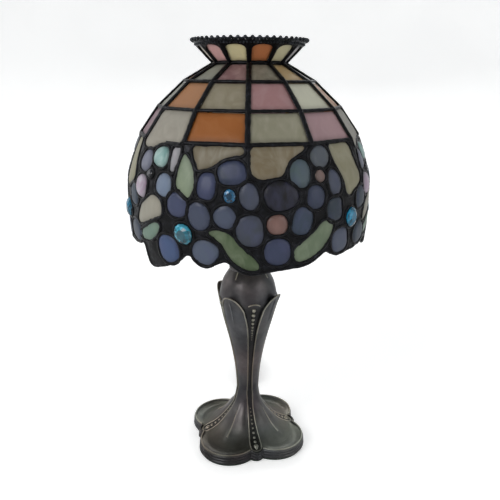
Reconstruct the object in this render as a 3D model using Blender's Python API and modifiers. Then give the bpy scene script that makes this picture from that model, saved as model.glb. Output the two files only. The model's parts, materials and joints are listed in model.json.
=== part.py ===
"""Leaded glass accent lamp on a cast lily-pad base: every piece as its own solid.

Metres, +Z up. The origin is the centre of the felt's underside. A bead string of the base runs
towards -Y, +X, +Y and -X, and a lily pad lies on each diagonal. The cord leaves at the back.
"""

import math

import bmesh
import bpy
from mathutils import Matrix, Vector

MM = 0.001

# ---- Driving dimensions, in millimetres -------------------------------------------------------

GAP = 0.3                     # clearance between pieces that touch or slide
PANELS = 12                   # flat sides of the shade
SHADE_TURN = -12.8            # degrees from -Y to the shade's front meridian

FELT_THICK = 1.5
FOOT_BOTTOM = FELT_THICK + GAP
PAD_CENTRE, PAD_RADIUS = 30.2, 27.8
LOBE_CENTRE, LOBE_RADIUS = 41.0, 6.3
EDGE_TOP = 10.5               # height of the pads' rim
WAIST_Z, WAIST_R = 52.0, 10.0
FOOT_WALL = 3.2
WEB_Z = 23.0                  # underside of the foot's web, where the washer bears

PIPE_R, PIPE_BORE_R = 5.0, 3.6
PIPE_BOTTOM, PIPE_TOP = 12.0, 196.0
BORE_R = PIPE_R + GAP + 0.1

DECK_Z = 176.0                # top of the column's deck
COLUMN_WALL = 3.2
LEAF_TIP_Z, LEAF_TIP_R = 152.5, 34.0

HARP_X = 30.0                 # harp legs either side of the centre
PRONG_TOP = 194.0
HARP_TOP = 343.0
HARP_WIRE_R = 1.6
STUD_R = 3.1

SOCKET_R = 17.6
SOCKET_LOW, SOCKET_JOIN, SOCKET_HIGH = 184.6, 203.0, 233.0
BULB_R, BULB_TOP = 24.0, 305.0

NECK_R = 30.0                 # ring at the waist between the dome and the crown
CAME_THICK = 1.2              # lead strips over the joints between panes
GLASS_THICK = 2.4
CAME_HALF_WIDTH = 1.9

CORD_R = 2.1
CORD_EXIT_Z = 4.9
CORD_NOTCH_R = 3.3            # the notch in the back lobe that holds the cord's bushing
TABLE_CORD_Z = CORD_R + 0.1
CORD_BEARING = -12.1          # degrees from +Y to the cord's run behind the base
SWITCH_AT = 118.0             # distance of the switch along that run
SWITCH_LENGTH, SWITCH_WIDTH, SWITCH_SPLIT, SWITCH_TOP = 58.0, 21.0, 8.0, 15.5
SWITCH_WALL = 1.8
SWITCH_SCREW_AT = 20.0        # screws, either side of the switch's middle
ROCKER_Z = 12.2               # height of the rocker's pin
ROCKER_TILT = 8.0             # degrees either side of level
PLUG_AT = 196.0               # distance of the plug's rear face along the run
PLUG_LENGTH, PLUG_WIDTH, PLUG_HEIGHT = 24.0, 25.0, 16.0
BLADE_AT = 6.35               # blades, either side of the plug's middle
BLADE_THICK, BLADE_LENGTH, BLADE_HEIGHT = 1.5, 20.5, 6.3

# Height against radius, from the waist down to the rim, along a bead string and along a pad.
STRING_LINE = ((10, 52), (11.5, 43), (14, 35.5), (18, 28.5), (22, 23.7), (27, 18.7),
               (32, 14.8), (38.5, 11.4), (43, 9.3), (48, 8.3))
PAD_LINE = ((10, 52), (11.4, 45), (14, 38), (19, 30.5), (25, 23.5), (30, 19), (35, 15.5),
            (40, 12.8), (45, 11), (50, 10), (58, 9.6))
# Radius against height of the column's leaves and of the bud behind them.
LEAF_LINE = ((52, 10), (58, 10.2), (68, 11), (79, 12.3), (100, 16.3), (120, 21.6), (140, 26.9),
             (148, 30.5), (152.5, 34))
BUD_LINE = ((52, 9.2), (79, 11), (100, 14.8), (120, 20), (136, 25), (144, 26.4), (150, 25.9),
            (160, 23.5), (169, 18.6), (173, 16.2), (176, 15.6))
# Half the gap between two leaves, in degrees, against height: a bead string shows in the gap.
LEAF_GAP_LINE = ((52, 6.5), (63, 7.7), (82, 10.8), (97, 14.3), (112, 15.4), (136, 19))
# Meridian radius and height of the dome's row lines, then the smooth skirt's profile.
DOME_ROWS = ((32.6, 347.0), (54.2, 334.6), (76.2, 314.4), (92.0, 292.6))
SKIRT_LINE = ((292, 92.2), (282, 96.2), (273.5, 98.8), (257.5, 102.0), (240.5, 102.4),
              (220.5, 101.8), (200.5, 100.0), (192, 98.6))
CROWN_ROWS = ((31.9, 350.6), (44.2, 363.0))
GALLERY_TOP_R, GALLERY_TOP_Z = 48.0, 366.4
GALLERY_TEETH = 54
SKIRT_BOTTOM, SKIRT_WAVE = 200.5, 4.0
SKIRT_ROUND_BELOW = 255.0

# ---- Materials ---------------------------------------------------------------------------------

FINISHES = {
    "aged_bronze": ((0.055, 0.050, 0.045), 0.42, 0.85),
    "dark_solder": ((0.030, 0.030, 0.032), 0.50, 0.60),
    "cream_glass": ((0.55, 0.52, 0.42), 0.20, 0.0),
    "pink_glass": ((0.50, 0.25, 0.27), 0.20, 0.0),
    "orange_glass": ((0.60, 0.28, 0.08), 0.20, 0.0),
    "blue_glass": ((0.13, 0.15, 0.24), 0.20, 0.0),
    "brass": ((0.62, 0.46, 0.20), 0.30, 1.0),
    "nickel": ((0.60, 0.60, 0.58), 0.28, 1.0),
    "felt": ((0.03, 0.05, 0.035), 0.95, 0.0),
    "brown_plastic": ((0.06, 0.035, 0.02), 0.45, 0.0),
    "phenolic": ((0.03, 0.02, 0.015), 0.50, 0.0),
    "card": ((0.35, 0.30, 0.22), 0.90, 0.0),
    "bulb_glass": ((0.85, 0.85, 0.82), 0.10, 0.0),
}


def finish(name):
    found = bpy.data.materials.get(name)
    if found:
        return found
    colour, roughness, metallic = FINISHES[name]
    made = bpy.data.materials.new(name)
    made.use_nodes = True
    shader = made.node_tree.nodes["Principled BSDF"]
    shader.inputs["Base Color"].default_value = (*colour, 1.0)
    shader.inputs["Roughness"].default_value = roughness
    shader.inputs["Metallic"].default_value = metallic
    made.diffuse_color = (*colour, 1.0)
    return made


# ---- Scene and helpers -------------------------------------------------------------------------

for old in list(bpy.data.objects):
    bpy.data.objects.remove(old)

lamp = bpy.data.collections.new("accent_lamp")
cutters = bpy.data.collections.new("cutters")
bpy.context.scene.collection.children.link(lamp)
bpy.context.scene.collection.children.link(cutters)

cord_run = bpy.data.objects.new("cord_run", None)
cord_run.rotation_euler.z = math.radians(CORD_BEARING)
lamp.objects.link(cord_run)
RUN_MATRIX = Matrix.Rotation(math.radians(CORD_BEARING), 4, "Z")


def lerp(line, x):
    """The value at x of a piecewise line of (x, value) points, held level past its ends."""
    points = sorted(line)
    if x <= points[0][0]:
        return points[0][1]
    for (x0, y0), (x1, y1) in zip(points, points[1:]):
        if x <= x1:
            return y0 + (y1 - y0) * (x - x0) / (x1 - x0)
    return points[-1][1]


def smooth(t):
    t = min(max(t, 0.0), 1.0)
    return t * t * (3 - 2 * t)


def polar(radius, azimuth, height):
    """Azimuth in degrees from -Y towards +X; the other values and the result in millimetres."""
    a = math.radians(azimuth)
    return Vector((radius * math.sin(a), -radius * math.cos(a), height))


def add(name, mesh, material, parent=None):
    piece = bpy.data.objects.new(name, mesh)
    lamp.objects.link(piece)
    piece.parent = parent
    if hasattr(mesh, "materials"):
        mesh.materials.append(finish(material))
    return piece


def shade_smooth(mesh, angle=40):
    mesh.shade_smooth()
    mesh.set_sharp_from_angle(angle=math.radians(angle))


def mesh_of(name, vertices, faces):
    mesh = bpy.data.meshes.new(name)
    mesh.from_pydata([tuple(v * MM for v in vertex) for vertex in vertices], [], faces)
    shade_smooth(mesh)
    return mesh


def lofted_ring(name, profile_at, steps, material, start=0.0):
    """A closed ring whose section, a loop of (radius, height), changes with the azimuth."""
    azimuths = [start + 360 * i / steps for i in range(steps)]
    sections = [profile_at(azimuth) for azimuth in azimuths]
    count = len(sections[0])
    vertices = [polar(r, azimuth, z) for azimuth, loop in zip(azimuths, sections) for r, z in loop]
    faces = []
    for i in range(steps):
        here, there = i * count, (i + 1) % steps * count
        for j in range(count):
            k = (j + 1) % count
            faces.append((here + j, there + j, there + k, here + k))
    mesh = mesh_of(name, vertices, faces)
    make_outward(mesh)
    return add(name, mesh, material)


def make_outward(mesh):
    work = bmesh.new()
    work.from_mesh(mesh)
    bmesh.ops.recalc_face_normals(work, faces=work.faces)
    work.to_mesh(mesh)
    work.free()


def turned(name, profile, material, steps=32, closed=True, spin=0.0, parent=None):
    """A Screw about Z. The profile of (radius, height) runs down its outer side; an open one
    starts and ends on the axis."""
    mesh = bpy.data.meshes.new(name)
    count = len(profile)
    edges = [(i, i + 1) for i in range(count - 1)]
    if closed:
        edges.append((count - 1, 0))
    mesh.from_pydata([(r * MM, 0, z * MM) for r, z in profile], edges, [])
    piece = add(name, mesh, material, parent)
    piece.rotation_euler.z = math.radians(spin)
    screw = piece.modifiers.new("turn", "SCREW")
    screw.steps = screw.render_steps = steps
    screw.use_merge_vertices = True
    screw.merge_threshold = 0.00001
    screw.use_smooth_shade = steps > PANELS
    return piece


def tube(name, inner, outer, low, high, material, steps=32, parent=None):
    profile = [(outer, high), (outer, low), (inner, low), (inner, high)]
    return turned(name, profile, material, steps, parent=parent)


def rod(name, radius, low, high, material, steps=16, parent=None):
    return turned(name, [(0, high), (radius, high), (radius, low), (0, low)], material, steps,
                  closed=False, parent=parent)


def wire(name, points, radius, material, parent=None, closed=False, resolution=2):
    """A round wire through points in millimetres, with filled ends."""
    curve = bpy.data.curves.new(name, "CURVE")
    curve.dimensions = "3D"
    curve.bevel_depth = radius * MM
    curve.bevel_resolution = resolution
    curve.use_fill_caps = not closed
    spline = curve.splines.new("POLY")
    spline.points.add(len(points) - 1)
    for point, place in zip(spline.points, points):
        point.co = (place[0] * MM, place[1] * MM, place[2] * MM, 1)
    spline.use_cyclic_u = closed
    return add(name, curve, material, parent)


def flat_plate(name, outlines, low, high, material):
    """A flat outline with holes, each a loop of (x, y), between two heights."""
    curve = bpy.data.curves.new(name, "CURVE")
    curve.dimensions = "2D"
    curve.fill_mode = "BOTH"
    curve.extrude = (high - low) / 2 * MM
    for outline in outlines:
        spline = curve.splines.new("POLY")
        spline.points.add(len(outline) - 1)
        for point, (x, y) in zip(spline.points, outline):
            point.co = (x * MM, y * MM, 0, 1)
        spline.use_cyclic_u = True
    piece = add(name, curve, material)
    piece.location.z = (low + high) / 2 * MM
    return piece


def steps_round(count):
    return [2 * math.pi * i / count for i in range(count)]


def circle(radius, count):
    return [(radius * math.cos(a), radius * math.sin(a)) for a in steps_round(count)]


def hex_nut(name, radius, low, high, material):
    return flat_plate(name, [circle(radius, 6), circle(BORE_R, 24)], low, high, material)


def block(name, size, centre, material, parent=None, round_edge=0.0):
    work = bmesh.new()
    bmesh.ops.create_cube(work, size=1.0)
    bmesh.ops.scale(work, vec=Vector(size) * MM, verts=work.verts)
    mesh = bpy.data.meshes.new(name)
    work.to_mesh(mesh)
    work.free()
    piece = add(name, mesh, material, parent)
    piece.location = Vector(centre) * MM
    if round_edge:
        bevel = piece.modifiers.new("round", "BEVEL")
        bevel.width = round_edge * MM
        bevel.segments = 2
    return piece


def cutter_mesh(name, shapes, parent=None):
    """One cutter from shapes: ("box", size, centre) or ("bore", radius, length, matrix)."""
    work = bmesh.new()
    for shape in shapes:
        if shape[0] == "box":
            made = bmesh.ops.create_cube(work, size=1.0)
            place = Matrix.Translation(Vector(shape[2])) @ Matrix.Diagonal((*shape[1], 1))
        else:
            made = bmesh.ops.create_cone(work, cap_ends=True, segments=16, radius1=shape[1],
                                         radius2=shape[1], depth=shape[2])
            place = shape[3]
        bmesh.ops.transform(work, matrix=Matrix.Scale(MM, 4) @ place, verts=made["verts"])
    mesh = bpy.data.meshes.new(name)
    work.to_mesh(mesh)
    work.free()
    piece = bpy.data.objects.new(name, mesh)
    piece.parent = parent
    piece.hide_render = True
    piece.display_type = "WIRE"
    cutters.objects.link(piece)
    return piece


def cut(piece, cutter):
    boolean = piece.modifiers.new("cut", "BOOLEAN")
    boolean.object = cutter
    boolean.use_self = True
    return piece


def bore_along(direction, centre):
    turn = Vector((0, 0, 1)).rotation_difference(Vector(direction)).to_matrix().to_4x4()
    return Matrix.Translation(Vector(centre)) @ turn


def run_point(x, y, z):
    """A point given along the cord's run, in world millimetres."""
    return RUN_MATRIX @ Vector((x, y, z))


# ---- Base --------------------------------------------------------------------------------------

def circle_reach(centre, radius, offset):
    """How far a ray at this angle from a circle's centre line goes before it leaves the circle."""
    across = centre * math.sin(math.radians(offset))
    inside = radius * radius - across * across
    if inside <= 0 or abs(offset) > 90:
        return 0.0
    return centre * math.cos(math.radians(offset)) + math.sqrt(inside)


def foot_reach(azimuth):
    from_lobe = (azimuth + 45) % 90 - 45
    from_pad = azimuth % 90 - 45
    return max(circle_reach(PAD_CENTRE, PAD_RADIUS, from_pad),
               circle_reach(LOBE_CENTRE, LOBE_RADIUS, from_lobe))


def foot_top(radius, azimuth):
    """Height of the foot's upper surface."""
    towards_pad = smooth(abs(math.sin(math.radians(2 * azimuth))) * 1.15)
    low = lerp(STRING_LINE, radius)
    return low + (lerp(PAD_LINE, radius) - low) * towards_pad


def foot_section(azimuth):
    """The outer surface from the waist to the rim and down the ribbed edge, then the hollow."""
    reach = foot_reach(azimuth)
    rim = min(EDGE_TOP, foot_top(reach - 3, azimuth) + 0.6)
    share = [i / 8 for i in range(9)]
    loop = []
    for s in share:
        radius = WAIST_R + (reach - 1.8 - WAIST_R) * s ** 1.35
        loop.append((radius, foot_top(radius, azimuth)))
    loop += [(reach - 1.0, rim + 0.5), (reach - 0.3, rim)]
    step = (rim - FOOT_BOTTOM) / 3
    for i in range(3):
        top = rim - i * step
        loop += [(reach + 0.2 * i + 0.5, top - 0.35 * step), (reach + 0.2 * i, top - 0.85 * step)]
    loop += [(reach + 0.6, FOOT_BOTTOM), (reach - FOOT_WALL, FOOT_BOTTOM)]
    for s in (0.0, 0.25, 0.5, 0.75):
        radius = reach - FOOT_WALL - (reach - FOOT_WALL - 19) * s
        loop.append((radius, min(foot_top(radius + 1, azimuth) - FOOT_WALL, WEB_Z)))
    loop += [(18.0, WEB_Z), (BORE_R, WEB_Z), (BORE_R, WAIST_Z)]
    return loop


def make_base():
    foot = lofted_ring("foot_casting", foot_section, 60, "aged_bronze")
    exit_bore = ("bore", CORD_NOTCH_R, 28, bore_along((0, 1, 0), (0, 42, CORD_EXIT_Z)))
    exit_slot = ("box", (2 * CORD_NOTCH_R, 28, CORD_EXIT_Z), (0, 42, CORD_EXIT_Z / 2))
    cut(foot, cutter_mesh("cord_hole_cutter", [exit_bore, exit_slot]))

    outline = []
    for i in range(96):
        place = polar(foot_reach(360 * i / 96) - 0.8, 360 * i / 96, 0)
        outline.append((place.x, place.y))
    flat_plate("base_felt", [outline], 0, FELT_THICK, "felt")

    tube("base_washer", BORE_R, 16.0, WEB_Z - GAP - 1.6, WEB_Z - GAP, "nickel", 24)
    hex_nut("base_lock_nut", 9.0, 14.0, WEB_Z - 2 * GAP - 1.6, "nickel")
    piece = tube("cord_bushing", CORD_R + GAP, CORD_NOTCH_R - GAP, -4, 4, "brown_plastic", 16)
    piece.rotation_euler.x = math.radians(-90)
    piece.location = Vector((0, foot_reach(180) - 2.5, CORD_EXIT_Z)) * MM


# ---- Column ------------------------------------------------------------------------------------

def leaf_top(azimuth):
    """Height of a leaf's edge at this azimuth: its tip on the diagonals, its foot at the gaps."""
    from_string = abs((azimuth + 45) % 90 - 45)
    gap_lines = [(half, z) for z, half in LEAF_GAP_LINE]
    if from_string < gap_lines[-1][0]:
        return lerp(gap_lines, from_string)
    along = (from_string - gap_lines[-1][0]) / (45 - gap_lines[-1][0])
    low = gap_lines[-1][1]
    return low + (LEAF_TIP_Z - low) * math.sin(along * math.pi / 2) ** 0.8


def column_radius(height, azimuth):
    bud = lerp(BUD_LINE, height)
    leaf = lerp(LEAF_LINE, height) if height < LEAF_TIP_Z else LEAF_TIP_R
    covered = smooth((leaf_top(azimuth) - height) / 3.0 + 0.5)
    return bud + (leaf - bud) * covered


def column_section(azimuth):
    bottom = WAIST_Z + GAP
    heights = [bottom, 60, 70, 80, 90, 100, 110, 120, 128, 134, 139, 143, 147, 150, 152.5, 155,
               160, 166, 171, DECK_Z]
    loop = [(column_radius(z, azimuth), z) for z in heights]
    loop += [(BORE_R, DECK_Z), (BORE_R, DECK_Z - 4)]
    for z in (DECK_Z - 4, 160, 148, 136, 100, 66):
        loop.append((lerp(BUD_LINE, z) - COLUMN_WALL, z))
    loop += [(BORE_R, 60), (BORE_R, bottom)]
    return loop


def make_column():
    lofted_ring("column_casting", column_section, 48, "aged_bronze")
    tube("threaded_pipe", PIPE_BORE_R, PIPE_R, PIPE_BOTTOM, PIPE_TOP, "nickel", 24)
    hex_nut("column_top_nut", 8.6, DECK_Z + GAP, DECK_Z + 4.3, "brass")


# ---- Harp --------------------------------------------------------------------------------------

def make_harp():
    line = ((-HARP_X, PRONG_TOP, 1.5), (-HARP_X, 187.5, 1.5), (-26, 183.5, 4.0), (-10, 183.5, 6.5),
            (10, 183.5, 6.5), (26, 183.5, 4.0), (HARP_X, 187.5, 1.5), (HARP_X, PRONG_TOP, 1.5))
    vertices = [(x, side * half, z) for x, z, half in line for side in (-1, 1)]
    faces = [(2 * i, 2 * i + 1, 2 * i + 3, 2 * i + 2) for i in range(len(line) - 1)]
    saddle = add("harp_saddle", mesh_of("harp_saddle", vertices, faces), "brass")
    thick = saddle.modifiers.new("thickness", "SOLIDIFY")
    thick.thickness = 1.4 * MM
    thick.offset = 0
    cut(saddle, cutter_mesh("saddle_cutter",
                            [("bore", BORE_R, 12, bore_along((0, 0, 1), (0, 0, 183.5)))]))

    right = [(HARP_X, PRONG_TOP + 0.6), (HARP_X, 212), (31.5, 222), (35.5, 246), (37.8, 268),
             (37, 290), (32.5, 310), (24.5, 327), (14, 338), (5, 342.4)]
    path = [(x, 0, z) for x, z in right] + [(0, 0, HARP_TOP)]
    path += [(-x, 0, z) for x, z in reversed(right)]
    wire("harp_wire", path, HARP_WIRE_R, "brass")
    for side, x in (("left", -HARP_X), ("right", HARP_X)):
        sleeve = tube(f"harp_ferrule_{side}", 2.3, 3.5, 190, 199, "brass", 16)
        sleeve.location.x = x * MM
    base = HARP_TOP + HARP_WIRE_R + GAP
    turned("harp_top_stud", [(0, 362), (STUD_R, 362), (STUD_R, base + 1.5), (6, base + 1.5),
                             (6, base), (0, base)], "brass", 20, closed=False)


# ---- Socket and bulb ---------------------------------------------------------------------------

def make_socket():
    cap = [(SOCKET_R, SOCKET_JOIN), (17.2, 199), (14.5, 195), (9, 192.5), (8, 191.5),
           (8, SOCKET_LOW), (BORE_R, SOCKET_LOW), (BORE_R, 193.5), (9, 194.2), (14, 196.5),
           (16.4, 199.5), (SOCKET_R - 1, SOCKET_JOIN)]
    turned("socket_cap", cap, "brass", 20)
    shell = [(SOCKET_R, SOCKET_HIGH), (17.0, 230), (17.0, 207), (SOCKET_R, 205),
             (SOCKET_R, SOCKET_JOIN + 0.4), (16.2, SOCKET_JOIN + 0.4), (16.2, SOCKET_HIGH)]
    turned("socket_shell", shell, "brass", 20)
    tube("socket_liner", 15.4, 15.9, 205, 239, "card", 20)
    body = [(12, 214.5), (12, 205), (3.0, 205), (3.0, 209), (2.2, 209), (2.2, 214.5)]
    turned("socket_body", body, "phenolic", 24)
    cup = [(14.8, 238), (14.8, 214.9), (4, 214.9), (4, 215.6), (14.1, 215.6), (14.1, 238)]
    turned("socket_screw_shell", cup, "nickel", 20)
    rod("centre_contact", 3.2, 215.2, 216.4, "brass")
    for name, side in (("terminal_screw_hot", 1), ("terminal_screw_neutral", -1)):
        screw = rod(name, 2.6, 0, 2.0, "brass" if side > 0 else "nickel", 12)
        screw.rotation_euler.y = math.radians(90 * side)
        screw.location = Vector((12.4 * side, 0, 209.5)) * MM
    set_screw = rod("socket_set_screw", 1.6, 0, 3, "nickel", 12)
    set_screw.rotation_euler.y = math.radians(90)
    set_screw.location = Vector((8.4, 0, 188)) * MM


def make_bulb():
    turned("bulb_base_shell", [(13.2, 240), (13.2, 221), (11, 219), (10.2, 219), (12.4, 222),
                               (12.4, 240)], "nickel", 20)
    turned("bulb_insulator", [(9.8, 219.8), (6, 218), (3.6, 217.6), (3.6, 219), (9.2, 220.6)],
           "phenolic", 20)
    rod("bulb_tip_contact", 3.2, 216.8, 219, "nickel")
    outer = [(0, BULB_TOP), (8, 303.6), (16, 299), (21.5, 291.5), (BULB_R, 282), (23.2, 272),
             (19.5, 260), (15.5, 250), (13.6, 243), (13.4, 240.4)]
    inner = [(12.2, 240.4), (12.4, 243.4), (14.3, 250.5), (18.3, 260.4), (22, 272.3),
             (22.8, 282), (20.4, 290.8), (15.2, 298), (7.6, 302.4), (0, 303.7)]
    turned("bulb_glass", outer + inner, "bulb_glass", 20, closed=False)
    turned("filament_stem", [(0, 262), (1.6, 261), (2.2, 250), (5.5, 243), (9, 239), (9, 236),
                             (0, 236)], "bulb_glass", 16, closed=False)
    arc = [polar(8.5, a, 272 + 2.0 * math.cos(math.radians(3 * a))) for a in range(-120, 121, 20)]
    wire("filament", [(1.5, 0, 263.2)] + arc + [(-1.5, 0, 263.2)], 0.35, "nickel", resolution=0)


# ---- Shade -------------------------------------------------------------------------------------

def offset_rows(rows, depth):
    """The same rows moved inwards from the outer face, square to each panel strip's slope."""
    moved = []
    for i, (r, z) in enumerate(rows):
        (r0, z0), (r1, z1) = rows[max(i - 1, 0)], rows[min(i + 1, len(rows) - 1)]
        length = math.hypot(r1 - r0, z1 - z0)
        out = Vector((-(z1 - z0), r1 - r0)) / length
        if out.x < 0:
            out = -out
        moved.append((r - out.x * depth, z - out.y * depth))
    return moved


def panel_ring(name, top, bottom, thick, depth, material):
    """One row of panes as a flat-sided ring, from depth to depth + thick under the outer face."""
    rows = (top, bottom)
    near, far = offset_rows(rows, depth), offset_rows(rows, depth + thick)
    loop = [near[0], near[1], far[1], far[0]]
    if loop[0][1] < loop[1][1]:
        loop = [loop[1], loop[0], loop[3], loop[2]]
    return turned(name, loop, material, PANELS, spin=SHADE_TURN)


def came_net(name, rows, material):
    """Strips over every joint between panes: panels inset, opened, and given a thickness."""
    work = bmesh.new()
    rings = []
    for radius, height in rows:
        ring = []
        for i in range(PANELS):
            place = polar(radius, SHADE_TURN + 360 * i / PANELS, height)
            ring.append(work.verts.new(place * MM))
        rings.append(ring)
    for upper, lower in zip(rings, rings[1:]):
        for i in range(PANELS):
            j = (i + 1) % PANELS
            work.faces.new((upper[i], lower[i], lower[j], upper[j]))
    work.normal_update()
    panes = list(work.faces)
    bmesh.ops.inset_individual(work, faces=panes, thickness=CAME_HALF_WIDTH * MM)
    bmesh.ops.delete(work, geom=panes, context="FACES_ONLY")
    mesh = bpy.data.meshes.new(name)
    work.to_mesh(mesh)
    work.free()
    net = add(name, mesh, material)
    thick = net.modifiers.new("thickness", "SOLIDIFY")
    thick.thickness = CAME_THICK * MM
    thick.offset = -1
    return net


def skirt_bottom(azimuth):
    """Height of the skirt's scalloped lower edge: three flower groups, two petals to each."""
    a = math.radians(azimuth - SHADE_TURN)
    return SKIRT_BOTTOM + SKIRT_WAVE * math.cos(3 * a) * 0.5 + SKIRT_WAVE * 0.5 * math.cos(18 * a)


def skirt_radius(height, azimuth):
    """The skirt's outer face: flat-sided where it meets the dome, round from the waist down."""
    across = (azimuth - SHADE_TURN) % (360 / PANELS) - 180 / PANELS
    flat = math.cos(math.pi / PANELS) / math.cos(math.radians(across))
    share = smooth((height - SKIRT_ROUND_BELOW) / (DOME_ROWS[-1][1] - SKIRT_ROUND_BELOW))
    return lerp(SKIRT_LINE, height) * (1 + (flat - 1) * share) - 0.2


def skirt_section(azimuth):
    top, bottom = DOME_ROWS[-1][1] - 2.2, skirt_bottom(azimuth)
    heights = [top + (bottom - top) * i / 5 for i in range(6)]
    outer = [(skirt_radius(z, azimuth), z) for z in heights]
    inner = [(r - GLASS_THICK - CAME_THICK, z) for r, z in reversed(outer)]
    return outer + inner


def gallery_section(azimuth):
    """The pierced band round the rim, with its scalloped top edge."""
    tooth = abs(math.cos(math.radians(azimuth - SHADE_TURN) * GALLERY_TEETH / 2))
    low_r, low_z = CROWN_ROWS[-1]
    low_r, low_z = low_r + 1.0, low_z + 1.2
    top_z = GALLERY_TOP_Z + 1.2 * tooth
    top_r = GALLERY_TOP_R
    return [(low_r, low_z), (top_r, top_z), (top_r - 1.6, top_z), (low_r - 1.6, low_z)]


def make_shade():
    came_net("dome_leading", DOME_ROWS, "dark_solder")
    depth = CAME_THICK + GAP
    colours = ("cream_glass", "pink_glass", "orange_glass")
    for i, (top, bottom) in enumerate(zip(DOME_ROWS, DOME_ROWS[1:])):
        first = tuple(a + (b - a) * (0.14 if i == 0 else 0.05) for a, b in zip(top, bottom))
        last = tuple(b + (a - b) * 0.05 for a, b in zip(top, bottom))
        panel_ring(f"dome_glass_row_{i + 1}", first, last, GLASS_THICK, depth, colours[i])
    came_net("crown_leading", CROWN_ROWS[::-1], "dark_solder")
    low, high = CROWN_ROWS
    first = tuple(a + (b - a) * 0.12 for a, b in zip(low, high))
    last = tuple(b + (a - b) * 0.06 for a, b in zip(low, high))
    panel_ring("crown_glass", first, last, GLASS_THICK, depth, "pink_glass")
    lofted_ring("gallery_band", gallery_section, 2 * GALLERY_TEETH, "dark_solder", SHADE_TURN)
    lofted_ring("skirt_mosaic", skirt_section, 60, "blue_glass", SHADE_TURN)
    edge = [polar(lerp(SKIRT_LINE, skirt_bottom(a) - 1.6) - 2.2, a, skirt_bottom(a) - 1.5)
            for a in range(0, 360, 6)]
    wire("skirt_edge_wire", edge, 1.1, "dark_solder", closed=True, resolution=0)
    tube("neck_ring", 28.5, NECK_R, 346.0, 351.2, "dark_solder", 36)

    windows = []
    for i in range(3):
        start, end = math.radians(120 * i + 12), math.radians(120 * i + 108)
        outer = [start + (end - start) * k / 10 for k in range(11)]
        window = [(26 * math.cos(a), 26 * math.sin(a)) for a in outer]
        window += [(8.5 * math.cos(a), 8.5 * math.sin(a)) for a in reversed(outer[2:-2:3])]
        windows.append(window)
    flat_plate("shade_spider", [circle(28.2, 36), circle(3.5, 16)] + windows, 346.8, 348.4, "brass")

    cap = [(27.0, 349.6), (26.4, 348.9), (3.5, 351.2), (3.5, 352.4), (14, 352.0), (24, 350.6)]
    heat_cap = turned("heat_cap", cap[::-1], "aged_bronze", 24)
    vents = [("bore", 2.2, 12, Matrix.Translation(polar(17.5, a, 351))) for a in range(0, 360, 60)]
    cut(heat_cap, cutter_mesh("vent_cutter", vents))
    turned("finial", [(0, 366), (2.6, 365.4), (3.6, 363.6), (3.2, 361.8), (5.4, 359.6),
                      (6.2, 357.4), (5.2, 355.2), (6.4, 353.9), (6.4, 352.8), (3.5, 352.8),
                      (3.5, 362.6), (0, 362.6)], "aged_bronze", 18, closed=False)


# ---- Cord, switch and plug ---------------------------------------------------------------------

def make_cord():
    bend = 7.0
    path = [(0, 0, 203.5), (0, 0, 150), (0, 0, 80), (0, 0, CORD_EXIT_Z + bend)]
    for angle in (22.5, 45, 67.5, 90):
        a = math.radians(angle)
        path.append((0, bend * (1 - math.cos(a)), CORD_EXIT_Z + bend * (1 - math.sin(a))))
    reach = foot_reach(180)
    path += [(0, 30, CORD_EXIT_Z), (0, reach + 6, CORD_EXIT_Z), (0.6, reach + 11, 4.0)]
    path += [run_point(-6.5, reach + 17, 2.8), run_point(-2.5, reach + 24, TABLE_CORD_Z)]
    entry = SWITCH_AT - SWITCH_LENGTH / 2
    level = SWITCH_SPLIT + GAP / 2
    path += [run_point(0, entry - 10, TABLE_CORD_Z), run_point(0, entry - 5, 5.0),
             run_point(0, entry - 1, level), run_point(0, entry + 5, level)]
    wire("lamp_cord", path, CORD_R, "brown_plastic")

    leave = SWITCH_AT + SWITCH_LENGTH / 2
    middle = PLUG_HEIGHT / 2 + 0.2
    path = [(0, leave - 5, level), (0, leave + 1, level), (0, leave + 5, 5.5),
            (0, leave + 11, TABLE_CORD_Z), (0, PLUG_AT - 16, TABLE_CORD_Z),
            (0, PLUG_AT - 9, 4.6), (0, PLUG_AT - 4, middle - 0.8), (0, PLUG_AT - 1, middle),
            (0, PLUG_AT + 5, middle)]
    wire("plug_cord", path, CORD_R, "brown_plastic", parent=cord_run)


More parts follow.
